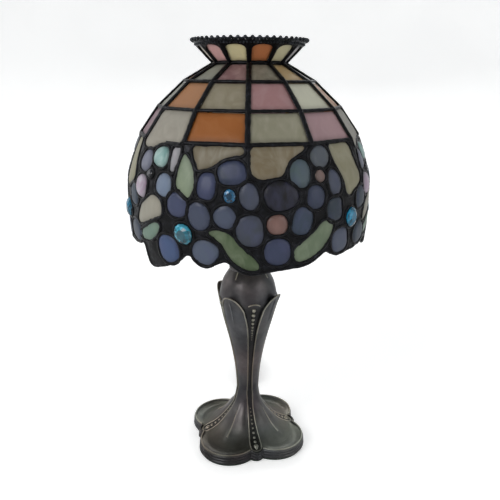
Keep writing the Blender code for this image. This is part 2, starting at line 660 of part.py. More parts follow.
def make_switch():
    width, length = SWITCH_WIDTH, SWITCH_LENGTH
    low = block("switch_base", (width, length, SWITCH_SPLIT - GAP),
                (0, SWITCH_AT, (SWITCH_SPLIT + GAP) / 2), "brown_plastic", cord_run, 1.5)
    cover_low = SWITCH_SPLIT + GAP
    cover = block("switch_cover", (width, length, SWITCH_TOP - cover_low),
                  (0, SWITCH_AT, (SWITCH_TOP + cover_low) / 2), "brown_plastic", cord_run, 2.0)
    hollow = (width - 2 * SWITCH_WALL, length - 2 * SWITCH_WALL)
    level = SWITCH_SPLIT + GAP / 2
    channel = ("bore", CORD_R + 0.4, length + 10, bore_along((0, 1, 0), (0, SWITCH_AT, level)))
    screws = (-SWITCH_SCREW_AT, SWITCH_SCREW_AT)
    holes = [("bore", 2.9, 8, Matrix.Translation((0, SWITCH_AT + y, 0.5))) for y in screws]
    floor, roof = GAP + SWITCH_WALL, SWITCH_TOP - SWITCH_WALL
    base_cut = [("box", (*hollow, SWITCH_SPLIT), (0, SWITCH_AT, floor + SWITCH_SPLIT / 2)), channel]
    cut(low, cutter_mesh("switch_base_cutter", base_cut, cord_run))
    cut(low, cutter_mesh("screw_hole_cutter", holes, cord_run))
    cover_cut = [("box", (*hollow, roof - 4), (0, SWITCH_AT, (roof + 4) / 2)), channel]
    cut(cover, cutter_mesh("switch_cover_cutter", cover_cut, cord_run))
    cut(cover, cutter_mesh("rocker_window_cutter",
                           [("box", (9.6, 19, 12), (0, SWITCH_AT, SWITCH_TOP))], cord_run))
    for i, y in enumerate(screws):
        screw = turned(f"switch_screw_{i + 1}", [(0, 12), (1.1, 12), (1.1, 2.2), (2.4, 2.0),
                                                 (2.4, 0.8), (0, 0.8)], "nickel", 12,
                       closed=False, parent=cord_run)
        screw.location = Vector((0, SWITCH_AT + y, 0)) * MM

    outline = [(-7.5, 2.2), (-7.8, 5.4), (0, 4.0), (7.8, 5.4), (7.5, 2.2), (3, -2.2), (-3, -2.2)]
    curve = bpy.data.curves.new("switch_rocker", "CURVE")
    curve.dimensions = "2D"
    curve.fill_mode = "BOTH"
    curve.extrude = 4.4 * MM
    for loop in (outline, circle(1.35, 16)):
        spline = curve.splines.new("POLY")
        spline.points.add(len(loop) - 1)
        for point, (x, y) in zip(spline.points, loop):
            point.co = (x * MM, y * MM, 0, 1)
        spline.use_cyclic_u = True
    rocker = add("switch_rocker", curve, "brown_plastic", cord_run)
    rocker.location = Vector((0, SWITCH_AT, ROCKER_Z)) * MM
    tilt = Matrix.Rotation(math.radians(-ROCKER_TILT), 4, "X")
    stand = Matrix(((0, 0, 1, 0), (1, 0, 0, 0), (0, 1, 0, 0), (0, 0, 0, 1)))
    rocker.rotation_euler = (tilt @ stand).to_euler()
    half_pin = hollow[0] / 2 - GAP
    pin = rod("rocker_pin", 1.0, -half_pin, half_pin, "nickel", 12, cord_run)
    pin.rotation_euler.y = math.radians(90)
    pin.location = Vector((0, SWITCH_AT, ROCKER_Z)) * MM
    for i, y in enumerate((-11.5, 11.5)):
        block(f"switch_contact_{i + 1}", (6, 7, 0.8), (0, SWITCH_AT + y, floor + GAP + 0.4),
              "brass", cord_run)
    coil = []
    for i in range(37):
        a = 2 * math.pi * i / 9
        coil.append((2.0 * math.cos(a), SWITCH_AT + 2.0 * math.sin(a), 3.2 + 4.6 * i / 36))
    wire("rocker_spring", coil, 0.3, "nickel", parent=cord_run, resolution=0)


def make_plug():
    middle = PLUG_HEIGHT / 2 + 0.2
    body = block("plug_body", (PLUG_WIDTH, PLUG_LENGTH, PLUG_HEIGHT),
                 (0, PLUG_AT + PLUG_LENGTH / 2, middle), "brown_plastic", cord_run, 3.0)
    front = PLUG_AT + PLUG_LENGTH
    sockets = [("bore", CORD_R + 0.4, 16, bore_along((0, 1, 0), (0, PLUG_AT, middle)))]
    for x in (-BLADE_AT, BLADE_AT):
        slot = (BLADE_THICK + 2 * GAP, 8, BLADE_HEIGHT + 0.7)
        sockets.append(("box", slot, (x, front, middle)))
    cut(body, cutter_mesh("plug_cutter", sockets, cord_run))
    for i, x in enumerate((-BLADE_AT, BLADE_AT)):
        block(f"plug_blade_{i + 1}", (BLADE_THICK, BLADE_LENGTH, BLADE_HEIGHT),
              (x, front + 6.8, middle), "brass", cord_run)


make_base()
make_column()
make_harp()
make_socket()
make_bulb()
make_shade()
make_cord()
make_switch()
make_plug()
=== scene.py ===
"""The looks of the leaded glass accent lamp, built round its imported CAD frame.

Lengths in this script are millimetres until a mesh is made. Azimuths are degrees from -Y towards
+X; on the shade they count from its front meridian. The skirt's pattern repeats every 120 degrees.
"""

import json
import math
import random

import bpy
import numpy as np
from mathutils import Matrix, Vector, noise
from mathutils.geometry import delaunay_2d_cdt


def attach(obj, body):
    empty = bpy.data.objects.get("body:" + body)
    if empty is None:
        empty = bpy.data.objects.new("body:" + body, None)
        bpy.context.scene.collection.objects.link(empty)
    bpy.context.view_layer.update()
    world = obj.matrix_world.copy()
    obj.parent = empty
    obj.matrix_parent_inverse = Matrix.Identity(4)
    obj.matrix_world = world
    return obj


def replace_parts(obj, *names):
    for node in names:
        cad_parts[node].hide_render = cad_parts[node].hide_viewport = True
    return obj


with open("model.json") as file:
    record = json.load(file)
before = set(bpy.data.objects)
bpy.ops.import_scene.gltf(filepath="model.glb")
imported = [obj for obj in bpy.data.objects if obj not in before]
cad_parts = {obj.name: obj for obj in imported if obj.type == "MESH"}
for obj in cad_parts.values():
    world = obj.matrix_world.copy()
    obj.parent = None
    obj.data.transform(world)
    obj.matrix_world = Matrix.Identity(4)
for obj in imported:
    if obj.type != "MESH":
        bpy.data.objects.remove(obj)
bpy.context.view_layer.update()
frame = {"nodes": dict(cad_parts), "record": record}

MM = 0.001
PANELS = 12
PANEL_TURN = 360 / PANELS
SHADE_TURN = -12.8
REPEATS = (0, 120, 240)
rng = random.Random(12)

# ---- Lines and surfaces --------------------------------------------------------------------------

ROW_LINES = ((30.4, 348.4), (54.2, 334.6), (76.2, 314.4), (92.0, 292.4))
SKIRT_TOP = ROW_LINES[-1][1]
SKIRT_LINE = ((292.4, 92.2), (282, 96.2), (273.5, 98.8), (265, 100.9), (257.5, 102.0), (249, 102.4),
              (240.5, 102.4), (230, 102.3), (220.5, 101.8), (210, 101.0), (200.5, 100.0), (190, 98.3))
SKIRT_ROUND_BELOW = 255.0
SKIRT_DEGREE = 1.78              # millimetres along the skirt for one degree
BAND_DRIFT = 0.02                # the flower band leans: degrees for each millimetre down the skirt
CROWN_LOW, CROWN_HIGH = (30.4, 349.0), (47.4, 366.6)
CROWN_DEGREE = 0.68
CROWN_SLANT = math.dist(CROWN_LOW, CROWN_HIGH)


def lerp(line, x):
    points = sorted(line)
    if x <= points[0][0]:
        return points[0][1]
    for (x0, y0), (x1, y1) in zip(points, points[1:]):
        if x <= x1:
            return y0 + (y1 - y0) * (x - x0) / (x1 - x0)
    return points[-1][1]


def curve(line, x):
    """A smooth line through the given points: Catmull-Rom in x."""
    points = sorted(line)
    if x <= points[0][0]:
        return points[0][1]
    if x >= points[-1][0]:
        return points[-1][1]
    i = next(k for k in range(len(points) - 1) if x <= points[k + 1][0])
    (x1, y1), (x2, y2) = points[i], points[i + 1]
    x0, y0 = points[max(i - 1, 0)]
    x3, y3 = points[min(i + 2, len(points) - 1)]
    span = x2 - x1
    slope1 = (y2 - y0) / (x2 - x0) * span
    slope2 = (y3 - y1) / (x3 - x1) * span
    t = (x - x1) / span
    return ((2 * t ** 3 - 3 * t ** 2 + 1) * y1 + (t ** 3 - 2 * t ** 2 + t) * slope1
            + (3 * t ** 2 - 2 * t ** 3) * y2 + (t ** 3 - t ** 2) * slope2)


def smooth(t):
    t = min(max(t, 0.0), 1.0)
    return t * t * (3 - 2 * t)


def polar(radius, azimuth, height):
    a = math.radians(azimuth)
    return Vector((radius * math.sin(a), -radius * math.cos(a), height))


def flat_share(azimuth):
    """A flat panel's distance from the axis at this azimuth, against its meridian's radius."""
    across = azimuth % PANEL_TURN - PANEL_TURN / 2
    return math.cos(math.radians(PANEL_TURN / 2)) / math.cos(math.radians(across))


def shade_radius(azimuth, height):
    if height > SKIRT_TOP:
        return lerp([(z, r) for r, z in ROW_LINES], height) * flat_share(azimuth)
    share = smooth((height - SKIRT_ROUND_BELOW) / (SKIRT_TOP - SKIRT_ROUND_BELOW))
    return curve(SKIRT_LINE, height) * (1 + (flat_share(azimuth) - 1) * share)


class Face:
    """A face to draw on: point(x, y) places a point whose x runs along it and y up it, in mm."""

    def __init__(self, point):
        self.point = point

    def normal(self, x, y):
        side = self.point(x + 0.2, y) - self.point(x - 0.2, y)
        up = self.point(x, y + 0.2) - self.point(x, y - 0.2)
        return side.cross(up).normalized()

    def place(self, x, y, lift=0.0):
        base = self.point(x, y)
        return base + self.normal(x, y) * lift if lift else base


def shade_point(x, y):
    azimuth = x / SKIRT_DEGREE + BAND_DRIFT * max(0.0, SKIRT_TOP - y)
    return polar(shade_radius(azimuth, y), azimuth + SHADE_TURN, y)


def crown_point(x, y):
    azimuth = x / CROWN_DEGREE
    share = y / CROWN_SLANT
    radius = CROWN_LOW[0] + (CROWN_HIGH[0] - CROWN_LOW[0]) * share
    radius *= flat_share(azimuth) + (1 - flat_share(azimuth)) * smooth((share - 0.55) / 0.4)
    height = CROWN_LOW[1] + (CROWN_HIGH[1] - CROWN_LOW[1]) * share
    return polar(radius, azimuth + SHADE_TURN, height)


SKIRT = Face(shade_point)
CROWN = Face(crown_point)


class Panel(Face):
    """A flat panel of the dome. x is measured from its middle, y up its slope from its lower edge."""

    def __init__(self, row, sector):
        (top_r, top_z), (low_r, low_z) = ROW_LINES[row], ROW_LINES[row + 1]
        middle = (sector + 0.5) * PANEL_TURN + SHADE_TURN
        apothem = math.cos(math.radians(PANEL_TURN / 2))
        self.low = polar(low_r * apothem, middle, low_z)
        rise = polar(top_r * apothem, middle, top_z) - self.low
        self.height = rise.length
        self.up = rise.normalized()
        a = math.radians(middle)
        self.side = Vector((math.cos(a), math.sin(a), 0))
        half = math.sin(math.radians(PANEL_TURN / 2))
        self.half_low, self.half_top = low_r * half, top_r * half

    def normal(self, x, y):
        return self.side.cross(self.up)

    def point(self, x, y):
        return self.low + self.side * x + self.up * y


# ---- Mesh helpers --------------------------------------------------------------------------------

def outward(vertices, faces):
    """The faces of a closed shell, all turned over if they look inwards."""
    points = [Vector(v) - Vector(vertices[0]) for v in vertices]
    volume = sum(points[face[0]].dot(points[face[i]].cross(points[face[i + 1]]))
                 for face in faces for i in range(1, len(face) - 1))
    return faces if volume > 0 else [tuple(reversed(face)) for face in faces]


def make_piece(name, vertices, faces, material, body, slot, tint=None, depth=None, sharp=60):
    """A piece from points in millimetres, riding on a CAD body."""
    mesh = bpy.data.meshes.new(name)
    mesh.from_pydata([tuple(v * MM for v in vertex) for vertex in vertices], [],
                     outward(vertices, faces))
    if tint is not None:
        mesh.attributes.new("tint", "FLOAT", "FACE").data.foreach_set("value",
                                                                      np.array(tint, np.float32))
    if depth is not None:
        mesh.attributes.new("depth", "FLOAT", "POINT").data.foreach_set("value",
                                                                        np.array(depth, np.float32))
    mesh.shade_smooth()
    mesh.set_sharp_from_angle(angle=math.radians(sharp))
    mesh.materials.append(material)
    piece = bpy.data.objects.new(name, mesh)
    bpy.context.scene.collection.objects.link(piece)
    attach(piece, body)
    return piece


class Shells:
    """Collects closed shells that become one piece."""

    def __init__(self):
        self.vertices = []
        self.faces = []
        self.tint = []

    def add(self, shell, tint=0.5):
        vertices, faces = shell
        base = len(self.vertices)
        self.vertices.extend(vertices)
        self.faces.extend(tuple(base + i for i in face) for face in outward(vertices, faces))
        self.tint.extend(tint if isinstance(tint, list) else [tint] * len(faces))

    def build(self, name, material, body, slot, sharp=60):
        return make_piece(name, self.vertices, self.faces, material, body, slot, tint=self.tint,
                          sharp=sharp)


def resample(points, step, closed=True):
    """Points spaced evenly along the line through the given ones."""
    loop = list(points) + ([points[0]] if closed else [])
    lengths = [0.0]
    for a, b in zip(loop, loop[1:]):
        lengths.append(lengths[-1] + math.dist(a, b))
    count = max(8 if closed else 2, round(lengths[-1] / step))
    result, j = [], 0
    for i in range(count if closed else count + 1):
        target = lengths[-1] * i / count
        while j < len(loop) - 2 and lengths[j + 1] < target:
            j += 1
        share = (target - lengths[j]) / max(lengths[j + 1] - lengths[j], 1e-9)
        result.append(tuple(a + (b - a) * share for a, b in zip(loop[j], loop[j + 1])))
    return result


def rounded(points, rounds=2, closed=True, reach=2.5):
    """Corner cutting: each round replaces a corner by two points on its sides, at most reach away."""
    for _ in range(rounds):
        count = len(points)
        cut = []
        for i in range(count if closed else count - 1):
            a, b = points[i], points[(i + 1) % count]
            share = min(0.25, reach / max(math.dist(a, b), 1e-6))
            cut.append(tuple(p * (1 - share) + q * share for p, q in zip(a, b)))
            cut.append(tuple(p * share + q * (1 - share) for p, q in zip(a, b)))
        points = cut if closed else [points[0]] + cut[1:-1] + [points[-1]]
        reach *= 0.5
    return points


def counter_clockwise(outline):
    area = sum(x0 * y1 - x1 * y0 for (x0, y0), (x1, y1) in zip(outline, outline[1:] + outline[:1]))
    return outline if area > 0 else outline[::-1]


def grown(outline, by):
    """The outline moved outwards, for one given counter-clockwise."""
    count = len(outline)
    result = []
    for i, (x, y) in enumerate(outline):
        dx = outline[(i + 1) % count][0] - outline[i - 1][0]
        dy = outline[(i + 1) % count][1] - outline[i - 1][1]
        length = math.hypot(dx, dy) or 1.0
        result.append((x + dy / length * by, y - dx / length * by))
    return result


def edge_distance(x, y, outline):
    best = np.full(x.shape, 1e9)
    for (x0, y0), (x1, y1) in zip(outline, outline[1:] + outline[:1]):
        dx, dy = x1 - x0, y1 - y0
        t = np.clip(((x - x0) * dx + (y - y0) * dy) / max(dx * dx + dy * dy, 1e-12), 0, 1)
        best = np.minimum(best, np.hypot(x - x0 - t * dx, y - y0 - t * dy))
    return best


def inside(x, y, outline):
    result = np.zeros(x.shape, bool)
    for (x0, y0), (x1, y1) in zip(outline, outline[1:] + outline[:1]):
        if y0 != y1:
            at = (x1 - x0) * (y - y0) / (y1 - y0) + x0
            result ^= ((y0 > y) != (y1 > y)) & (x < at)
    return result


def glass_shell(outline, face, lift, dome, edge, grain, ripple, seed, back=2.4):
    """A pane or nugget with this outline, crowned by dome over an edge of the given width and
    gently rippled. Returns the shell and each point's depth, 0 at the edge and 1 inside."""
    xs, ys = zip(*outline)
    gx, gy = np.meshgrid(np.arange(min(xs) + grain / 2, max(xs), grain),
                         np.arange(min(ys) + grain / 2, max(ys), grain * 0.87))
    gx[1::2] += grain / 2
    gx, gy = gx.ravel(), gy.ravel()
    keep = inside(gx, gy, outline)
    gx, gy = gx[keep], gy[keep]
    far = edge_distance(gx, gy, outline) > grain * 0.5
    points = [Vector(p) for p in outline] + [Vector(p) for p in zip(gx[far], gy[far])]
    ring = [(i, (i + 1) % len(outline)) for i in range(len(outline))]
    placed, _, up, *_ = delaunay_2d_cdt(points, ring, [], 1, 1e-5)
    px = np.array([p.x for p in placed])
    py = np.array([p.y for p in placed])
    depth = np.clip(edge_distance(px, py, outline) / edge, 0, 1)
    height = dome * np.sqrt(1 - (1 - depth) ** 2)
    front, rear = [], []
    for x, y, h in zip(px, py, height):
        wave = ripple * noise.noise(Vector((x * 0.2 + seed, y * 0.2, seed * 3.1)))
        front.append(face.place(x, y, lift + h + wave))
        rear.append(face.place(x, y, lift - back))
    total = len(front)
    a, b, c = (placed[i] for i in up[0][:3])
    if (b - a).cross(c - a) < 0:
        up = [face[::-1] for face in up]
    up = [tuple(triangle) for triangle in up]
    down = [tuple(i + total for i in reversed(triangle)) for triangle in up]
    edges = {(i, j) for triangle in up for i, j in zip(triangle, triangle[1:] + triangle[:1])}
    sides = [(j, i, i + total, j + total) for i, j in edges if (j, i) not in edges]
    return (front + rear, up + down + sorted(sides)), list(depth) * 2


def tube_shell(centres, normals, half_width, rise, closed=True, sides=10, lumps=0.0, seed=0.0):
    """A bead along points in space, half_width across and rise up along the normals. Both may be
    functions of the share of the way along it."""
    count = len(centres)
    vertices = []
    for i, (centre, normal) in enumerate(zip(centres, normals)):
        before = centres[i - 1] if closed or i else centre
        after = centres[(i + 1) % count] if closed or i < count - 1 else centre
        side = (after - before).cross(normal).normalized()
        up = side.cross(after - before).normalized()
        share = i / max(count - 1, 1)
        wide = half_width(share) if callable(half_width) else half_width
        high = rise(share) if callable(rise) else rise
        if lumps:
            swell = 1 + lumps * (noise.noise(centre * 0.3 + Vector((seed, 0, 0)))
                                 + 0.8 * noise.noise(centre * 0.9 + Vector((0, seed, 0))))
            wide, high = wide * swell, high * swell
        for k in range(sides):
            a = 2 * math.pi * k / sides
            vertices.append(centre + side * (wide * math.cos(a)) + up * (high * math.sin(a)))
    faces = []
    for i in range(count if closed else count - 1):
        j = (i + 1) % count
        for k in range(sides):
            m = (k + 1) % sides
            faces.append((i * sides + k, j * sides + k, j * sides + m, i * sides + m))
    if not closed:
        faces.append(tuple(range(sides)))
        faces.append(tuple((count - 1) * sides + k for k in reversed(range(sides))))
    return vertices, faces


def bead_on(face, line, half_width, rise, lift=0.0, **options):
    """A bead along a line drawn on a face."""
    return tube_shell([face.place(x, y, lift) for x, y in line],
                      [face.normal(x, y) for x, y in line], half_width, rise, **options)


def ball_shell(centre, radius, squash=1.0, rings=6, sides=10, axis=Vector((0, 0, 1))):
    """A bead whose axis points along axis, squashed along it."""
    side = axis.orthogonal().normalized()
    other = axis.cross(side).normalized()
    vertices = [centre + axis * (radius * squash)]
    for i in range(1, rings):
        a = math.pi * i / rings
        for k in range(sides):
            b = 2 * math.pi * k / sides
            across = side * math.cos(b) + other * math.sin(b)
            vertices.append(centre + axis * (radius * squash * math.cos(a))
                            + across * (radius * math.sin(a)))
    vertices.append(centre - axis * (radius * squash))
    last = len(vertices) - 1
    faces = [(0, 1 + k, 1 + (k + 1) % sides) for k in range(sides)]
    for i in range(rings - 2):
        for k in range(sides):
            m = (k + 1) % sides
            a, b = 1 + i * sides, 1 + (i + 1) * sides
            faces.append((a + k, b + k, b + m, a + m))
    base = 1 + (rings - 2) * sides
    faces += [(base + (k + 1) % sides, base + k, last) for k in range(sides)]
    return vertices, faces


def loft_shell(sections):
    """A closed skin through closed sections, each joined to the next and the last to the first."""
    count, size = len(sections), len(sections[0])
    vertices = [p for section in sections for p in section]
    faces = []
    for i in range(count):
        j = (i + 1) % count
        for k in range(size):
            m = (k + 1) % size
            faces.append((i * size + k, i * size + m, j * size + m, j * size + k))
    return vertices, faces


def turned_shell(profile, sides=64):
    """A closed (radius, height) outline, counter-clockwise, turned round the axis."""
    return loft_shell([[polar(r, 360 * i / sides, z) for r, z in profile] for i in range(sides)])


# ---- Materials -----------------------------------------------------------------------------------

def srgb(red, green, blue):
    """A colour given as 8-bit sRGB, as linear RGBA."""
    linear = [c / 12.92 if c <= 0.04045 else ((c + 0.055) / 1.055) ** 2.4
              for c in (red / 255, green / 255, blue / 255)]
    return (*linear, 1.0)


class Shader:
    """A Principled material being built."""

    def __init__(self, name, **settings):
        self.material = bpy.data.materials.new(name)
        self.material.use_nodes = True
        self.tree = self.material.node_tree
        self.surface = self.tree.nodes["Principled BSDF"]
        self.set(self.surface, settings)
        self.where = self.node("TexCoord").outputs["Object"]

    def set(self, node, values):
        for key, value in values.items():
            socket = node.inputs[key if isinstance(key, int) else key.replace("_", " ")]
            if isinstance(value, bpy.types.NodeSocket):
                self.tree.links.new(value, socket)
            else:
                socket.default_value = value

    def node(self, kind, values=None, **settings):
        node = self.tree.nodes.new("ShaderNode" + kind)
        for key, value in settings.items():
            setattr(node, key, value)
        self.set(node, values or {})
        return node

    def noise(self, scale, detail=3.0, stretch=None, offset=None, distortion=0.0):
        where = self.where
        if offset is not None:
            where = self.node("VectorMath", {0: where, 1: offset}, operation="ADD").outputs[0]
        if stretch is not None:
            where = self.node("Mapping", {"Vector": where, "Scale": stretch}).outputs[0]
        return self.node("TexNoise", {"Vector": where, "Scale": scale, "Detail": detail,
                                      "Distortion": distortion}).outputs["Fac"]

    def ramp(self, value, stops):
        node = self.node("ValToRGB", {"Fac": value})
        elements = node.color_ramp.elements
        while len(elements) < len(stops):
            elements.new(0.5)
        for element, (at, colour) in zip(elements, stops):
            element.position = at
            element.color = colour if len(colour) == 4 else (*colour, 1)
        return node.outputs["Color"]

    def grey_ramp(self, value, *stops):
        return self.ramp(value, [(at, (level, level, level)) for at, level in stops])

    def math(self, operation, a, b=0.0):
        return self.node("Math", {0: a, 1: b}, operation=operation).outputs[0]

    def mix(self, share, a, b, blend="MIX"):
        node = self.node("Mix", {0: share}, data_type="RGBA", blend_type=blend)
        self.set(node, {6: a, 7: b})
        return node.outputs[2]

    def bump(self, height, strength, distance):
        self.set(self.surface, {"Normal": self.node(
            "Bump", {"Height": height, "Strength": strength, "Distance": distance}).outputs[0]})

    def attribute(self, name):
        return self.node("Attribute", attribute_name=name).outputs["Fac"]

    def done(self, colour=None, roughness=None):
        if colour is not None:
            self.set(self.surface, {"Base Color": colour})
        if roughness is not None:
            self.set(self.surface, {"Roughness": roughness})
        return self.material


def opal_glass(name, streak_share, streak_colour, roughness=0.38):
    """Streaky opalescent sheet glass in the piece's own object colour, paler or darker in wisps,
    and darker where it meets the solder, a painted shade from the raised beads."""
    s = Shader(name, Specular_IOR_Level=0.3)
    info = s.node("ObjectInfo")
    shift = s.node("CombineXYZ", {0: info.outputs["Random"], 1: info.outputs["Random"],
                                  2: info.outputs["Random"]}).outputs[0]
    shift = s.node("VectorMath", {0: shift, "Scale": 4.0}, operation="SCALE").outputs[0]
    base = info.outputs["Color"]
    wisps = s.noise(52, 4, stretch=(1.6, 1.6, 0.75), offset=shift, distortion=1.4)
    cloud = s.noise(20, 2, offset=shift)
    wisp_share = s.grey_ramp(wisps, (0.40, 0.0), (0.78, streak_share))
    colour = s.mix(wisp_share, base, streak_colour)
    shade = s.grey_ramp(cloud, (0.3, 0.90), (0.7, 1.08))
    colour = s.mix(1.0, colour, shade, "MULTIPLY")
    # painted shade: the glass darkens towards its edge, where the solder beads stand
    rim = s.grey_ramp(s.attribute("depth"), (0.0, 0.55), (0.3, 0.84), (1.0, 1.04))
    colour = s.mix(1.0, colour, rim, "MULTIPLY")
    s.bump(s.noise(140, 2, offset=shift), 0.12, 0.0006)
    rough = s.grey_ramp(cloud, (0.3, roughness - 0.05), (0.7, roughness + 0.08))
    return s.done(colour, rough)


def lead(name, dark=(8, 8, 11), light=(20, 21, 26), roughness=0.4):
    """Black-patinated solder: nearly black, with dull grey worn lumps."""
    s = Shader(name, Metallic=0.7)
    lumps = s.noise(230, 2)
    fine = s.noise(1100, 2)
    colour = s.ramp(lumps, [(0.42, srgb(*dark)), (0.66, srgb(*light)), (0.84, srgb(48, 50, 57))])
    s.bump(s.math("ADD", lumps, s.math("MULTIPLY", fine, 0.18)), 0.4, 0.0008)
    rough = s.grey_ramp(lumps, (0.35, roughness + 0.16), (0.7, roughness - 0.06))
    return s.done(colour, rough)


TOP_LIGHT_OLIVE = 102, 103, 84              # the lighter olive mixed onto faces that point up, a painted top light
PAINTED_SHADE_SPOT = -0.027, -0.044, 0.012   # around here a painted shade darkens the casting most, in metres


def cast_bronze(name, dark, mid, light, wear=0.0, roughness=0.36, hollows=False,
                fade=()):
    """Dark patinated casting: mottled brown-grey, lighter where worn, lighter and more olive on faces
    that point up as a painted top light, darker round one spot on the front left pad as a painted
    shade, and nearly black in its grooves, which the tint attribute marks along with a painted shade
    low on the foot's edge."""
    s = Shader(name, Metallic=0.72, Specular_IOR_Level=0.6)
    broad = s.noise(28, 4)
    fine = s.noise(240, 3)
    up = s.node("SeparateXYZ", {0: s.node("NewGeometry").outputs["Normal"]}).outputs[2]
    # painted top light: faces that point up get a lighter tone
    painted_top_light = s.grey_ramp(up, (0.35, 0.0), (0.95, 0.16))
    share = s.math("ADD", s.math("MULTIPLY", broad, 0.75), s.math("ADD", painted_top_light, wear))
    colour = s.ramp(share, [(0.28, srgb(*dark)), (0.52, srgb(*mid)), (0.9, srgb(*light))])
    grain = s.grey_ramp(fine, (0.3, 0.88), (0.7, 1.1))
    colour = s.mix(1.0, colour, grain, "MULTIPLY")
    # painted top light: faces that point up are mixed towards a lighter olive
    colour = s.mix(s.grey_ramp(up, (0.5, 0.0), (0.95, 0.5)), colour, srgb(*TOP_LIGHT_OLIVE))
    # painted shade: the casting darkens within a few centimetres of one spot on the front left pad
    from_painted_shade = s.node("VectorMath", {0: s.node("TexCoord").outputs["Object"], 1: PAINTED_SHADE_SPOT},
                  operation="DISTANCE").outputs["Value"]
    colour = s.mix(1.0, colour, s.grey_ramp(from_painted_shade, (0.022, 0.55), (0.055, 1.0)), "MULTIPLY")
    hue = s.ramp(s.noise(17, 2), [(0.38, (1.12, 0.99, 0.98)), (0.5, (1.0, 1.0, 1.0)),
                                  (0.62, (0.92, 1.0, 1.06))])
    colour = s.mix(1.0, colour, hue, "MULTIPLY")
    if hollows:
        colour = s.mix(1.0, colour, s.grey_ramp(s.attribute("tint"), (0.0, 1.0), (1.0, 0.3)), "MULTIPLY")
    if fade:
        height = s.node("SeparateXYZ", {0: s.node("TexCoord").outputs["Object"]}).outputs[2]
        colour = s.mix(1.0, colour, s.grey_ramp(height, *fade), "MULTIPLY")
    s.bump(s.math("ADD", fine, s.noise(900, 2)), 0.12, 0.0004)
    rough = s.grey_ramp(s.noise(90, 3), (0.35, roughness - 0.06), (0.7, roughness + 0.1))
    return s.done(colour, rough)


def turned_metal(name, colour, roughness, metallic=1.0, worn=None):
    """Spun or drawn metal with faint streaks and smudges."""
    s = Shader(name, Metallic=metallic)
    streaks = s.noise(60, 3, stretch=(1, 1, 14))
    smudge = s.noise(70, 3)
    low = tuple(c * 0.72 for c in colour)
    tone = s.ramp(streaks, [(0.3, srgb(*low)), (0.7, srgb(*(worn or colour)))])
    s.bump(s.noise(700, 2), 0.08, 0.0003)
    rough = s.grey_ramp(smudge, (0.35, roughness), (0.7, roughness + 0.14))
    return s.done(tone, rough)


def moulded(name, colour, roughness=0.42):
    """Moulded plastic with a fine spark-eroded grain."""
    s = Shader(name, Specular_IOR_Level=0.45)
    grain = s.noise(1400, 2)
    tone = s.noise(45, 3)
    low = tuple(c * 0.82 for c in colour)
    col = s.ramp(tone, [(0.35, srgb(*low)), (0.7, srgb(*colour))])
    s.bump(grain, 0.18, 0.0003)
    return s.done(col, s.grey_ramp(grain, (0.3, roughness - 0.06), (0.7, roughness + 0.12)))


# ---- Glass of the dome and the crown -------------------------------------------------------------

CREAM, PINK, ORANGE, YELLOW = "cream", "pink", "orange", "yellow"
GLASS_TONES = {
    CREAM: ((126, 122, 108), (143, 140, 128), (116, 113, 100)),
    PINK: ((138, 104, 106), (150, 122, 124), (126, 92, 96)),
    ORANGE: ((145, 96, 58), (138, 90, 52), (149, 108, 78)),
    YELLOW: ((158, 150, 118), (140, 135, 112), (152, 146, 124)),
}
CAME_HALF = 1.9                  # half the width of a solder line between panes
DIPPING_SECTOR = 2               # of every four, the one whose lowest pane dips into the skirt
PANE_BACK = 2.0


def scaled(tone, by):
    return tuple(min(255, c * by) for c in tone)


def tone_of(kind):
    tone = rng.choice(GLASS_TONES[kind])
    return scaled(tone, rng.uniform(0.95, 1.05))


def cell_kind(row, sector):
    """Cream and coloured panes alternate like a chessboard, the coloured ones pink then orange."""
    if (row + sector) % 2 == 0:
        return CREAM
    return PINK if sector % 4 == (3, 0, 1)[row] else ORANGE


def pane_outline(panel):
    inset = CAME_HALF - 0.5
    slope = (panel.half_low - panel.half_top) / panel.height
    low_x = panel.half_low - slope * inset - inset
    top_x = panel.half_top + slope * inset - inset
    top = panel.height - inset
    return resample([(-low_x, inset), (low_x, inset), (top_x, top), (-top_x, top)], 2.2)


def make_pane(name, outline, face, kind, body, tone=None, dome=0.5, edge=3.0, grain=3.4, lift=-0.9):
    outline = counter_clockwise(outline)
    shell, depth = glass_shell(outline, face, lift, dome, edge, grain, 0.16, rng.random() * 50,
                               PANE_BACK)
    pane = make_piece(name, *shell, GLASS[kind], body, SLOTS[kind], depth=depth, sharp=50)
    pane.color = srgb(*(tone or tone_of(kind)))
    return pane


CROWN_PAINTED_LIGHT = 1.26                # painted light: the crown's panes are made paler than the dome's, standing in for light shining through them and reaching them from below
RING_TUBES = ((1.1, 0.8), (1.4, 0.95), (1.4, 0.95), (1.6, 0.95))   # half width and rise


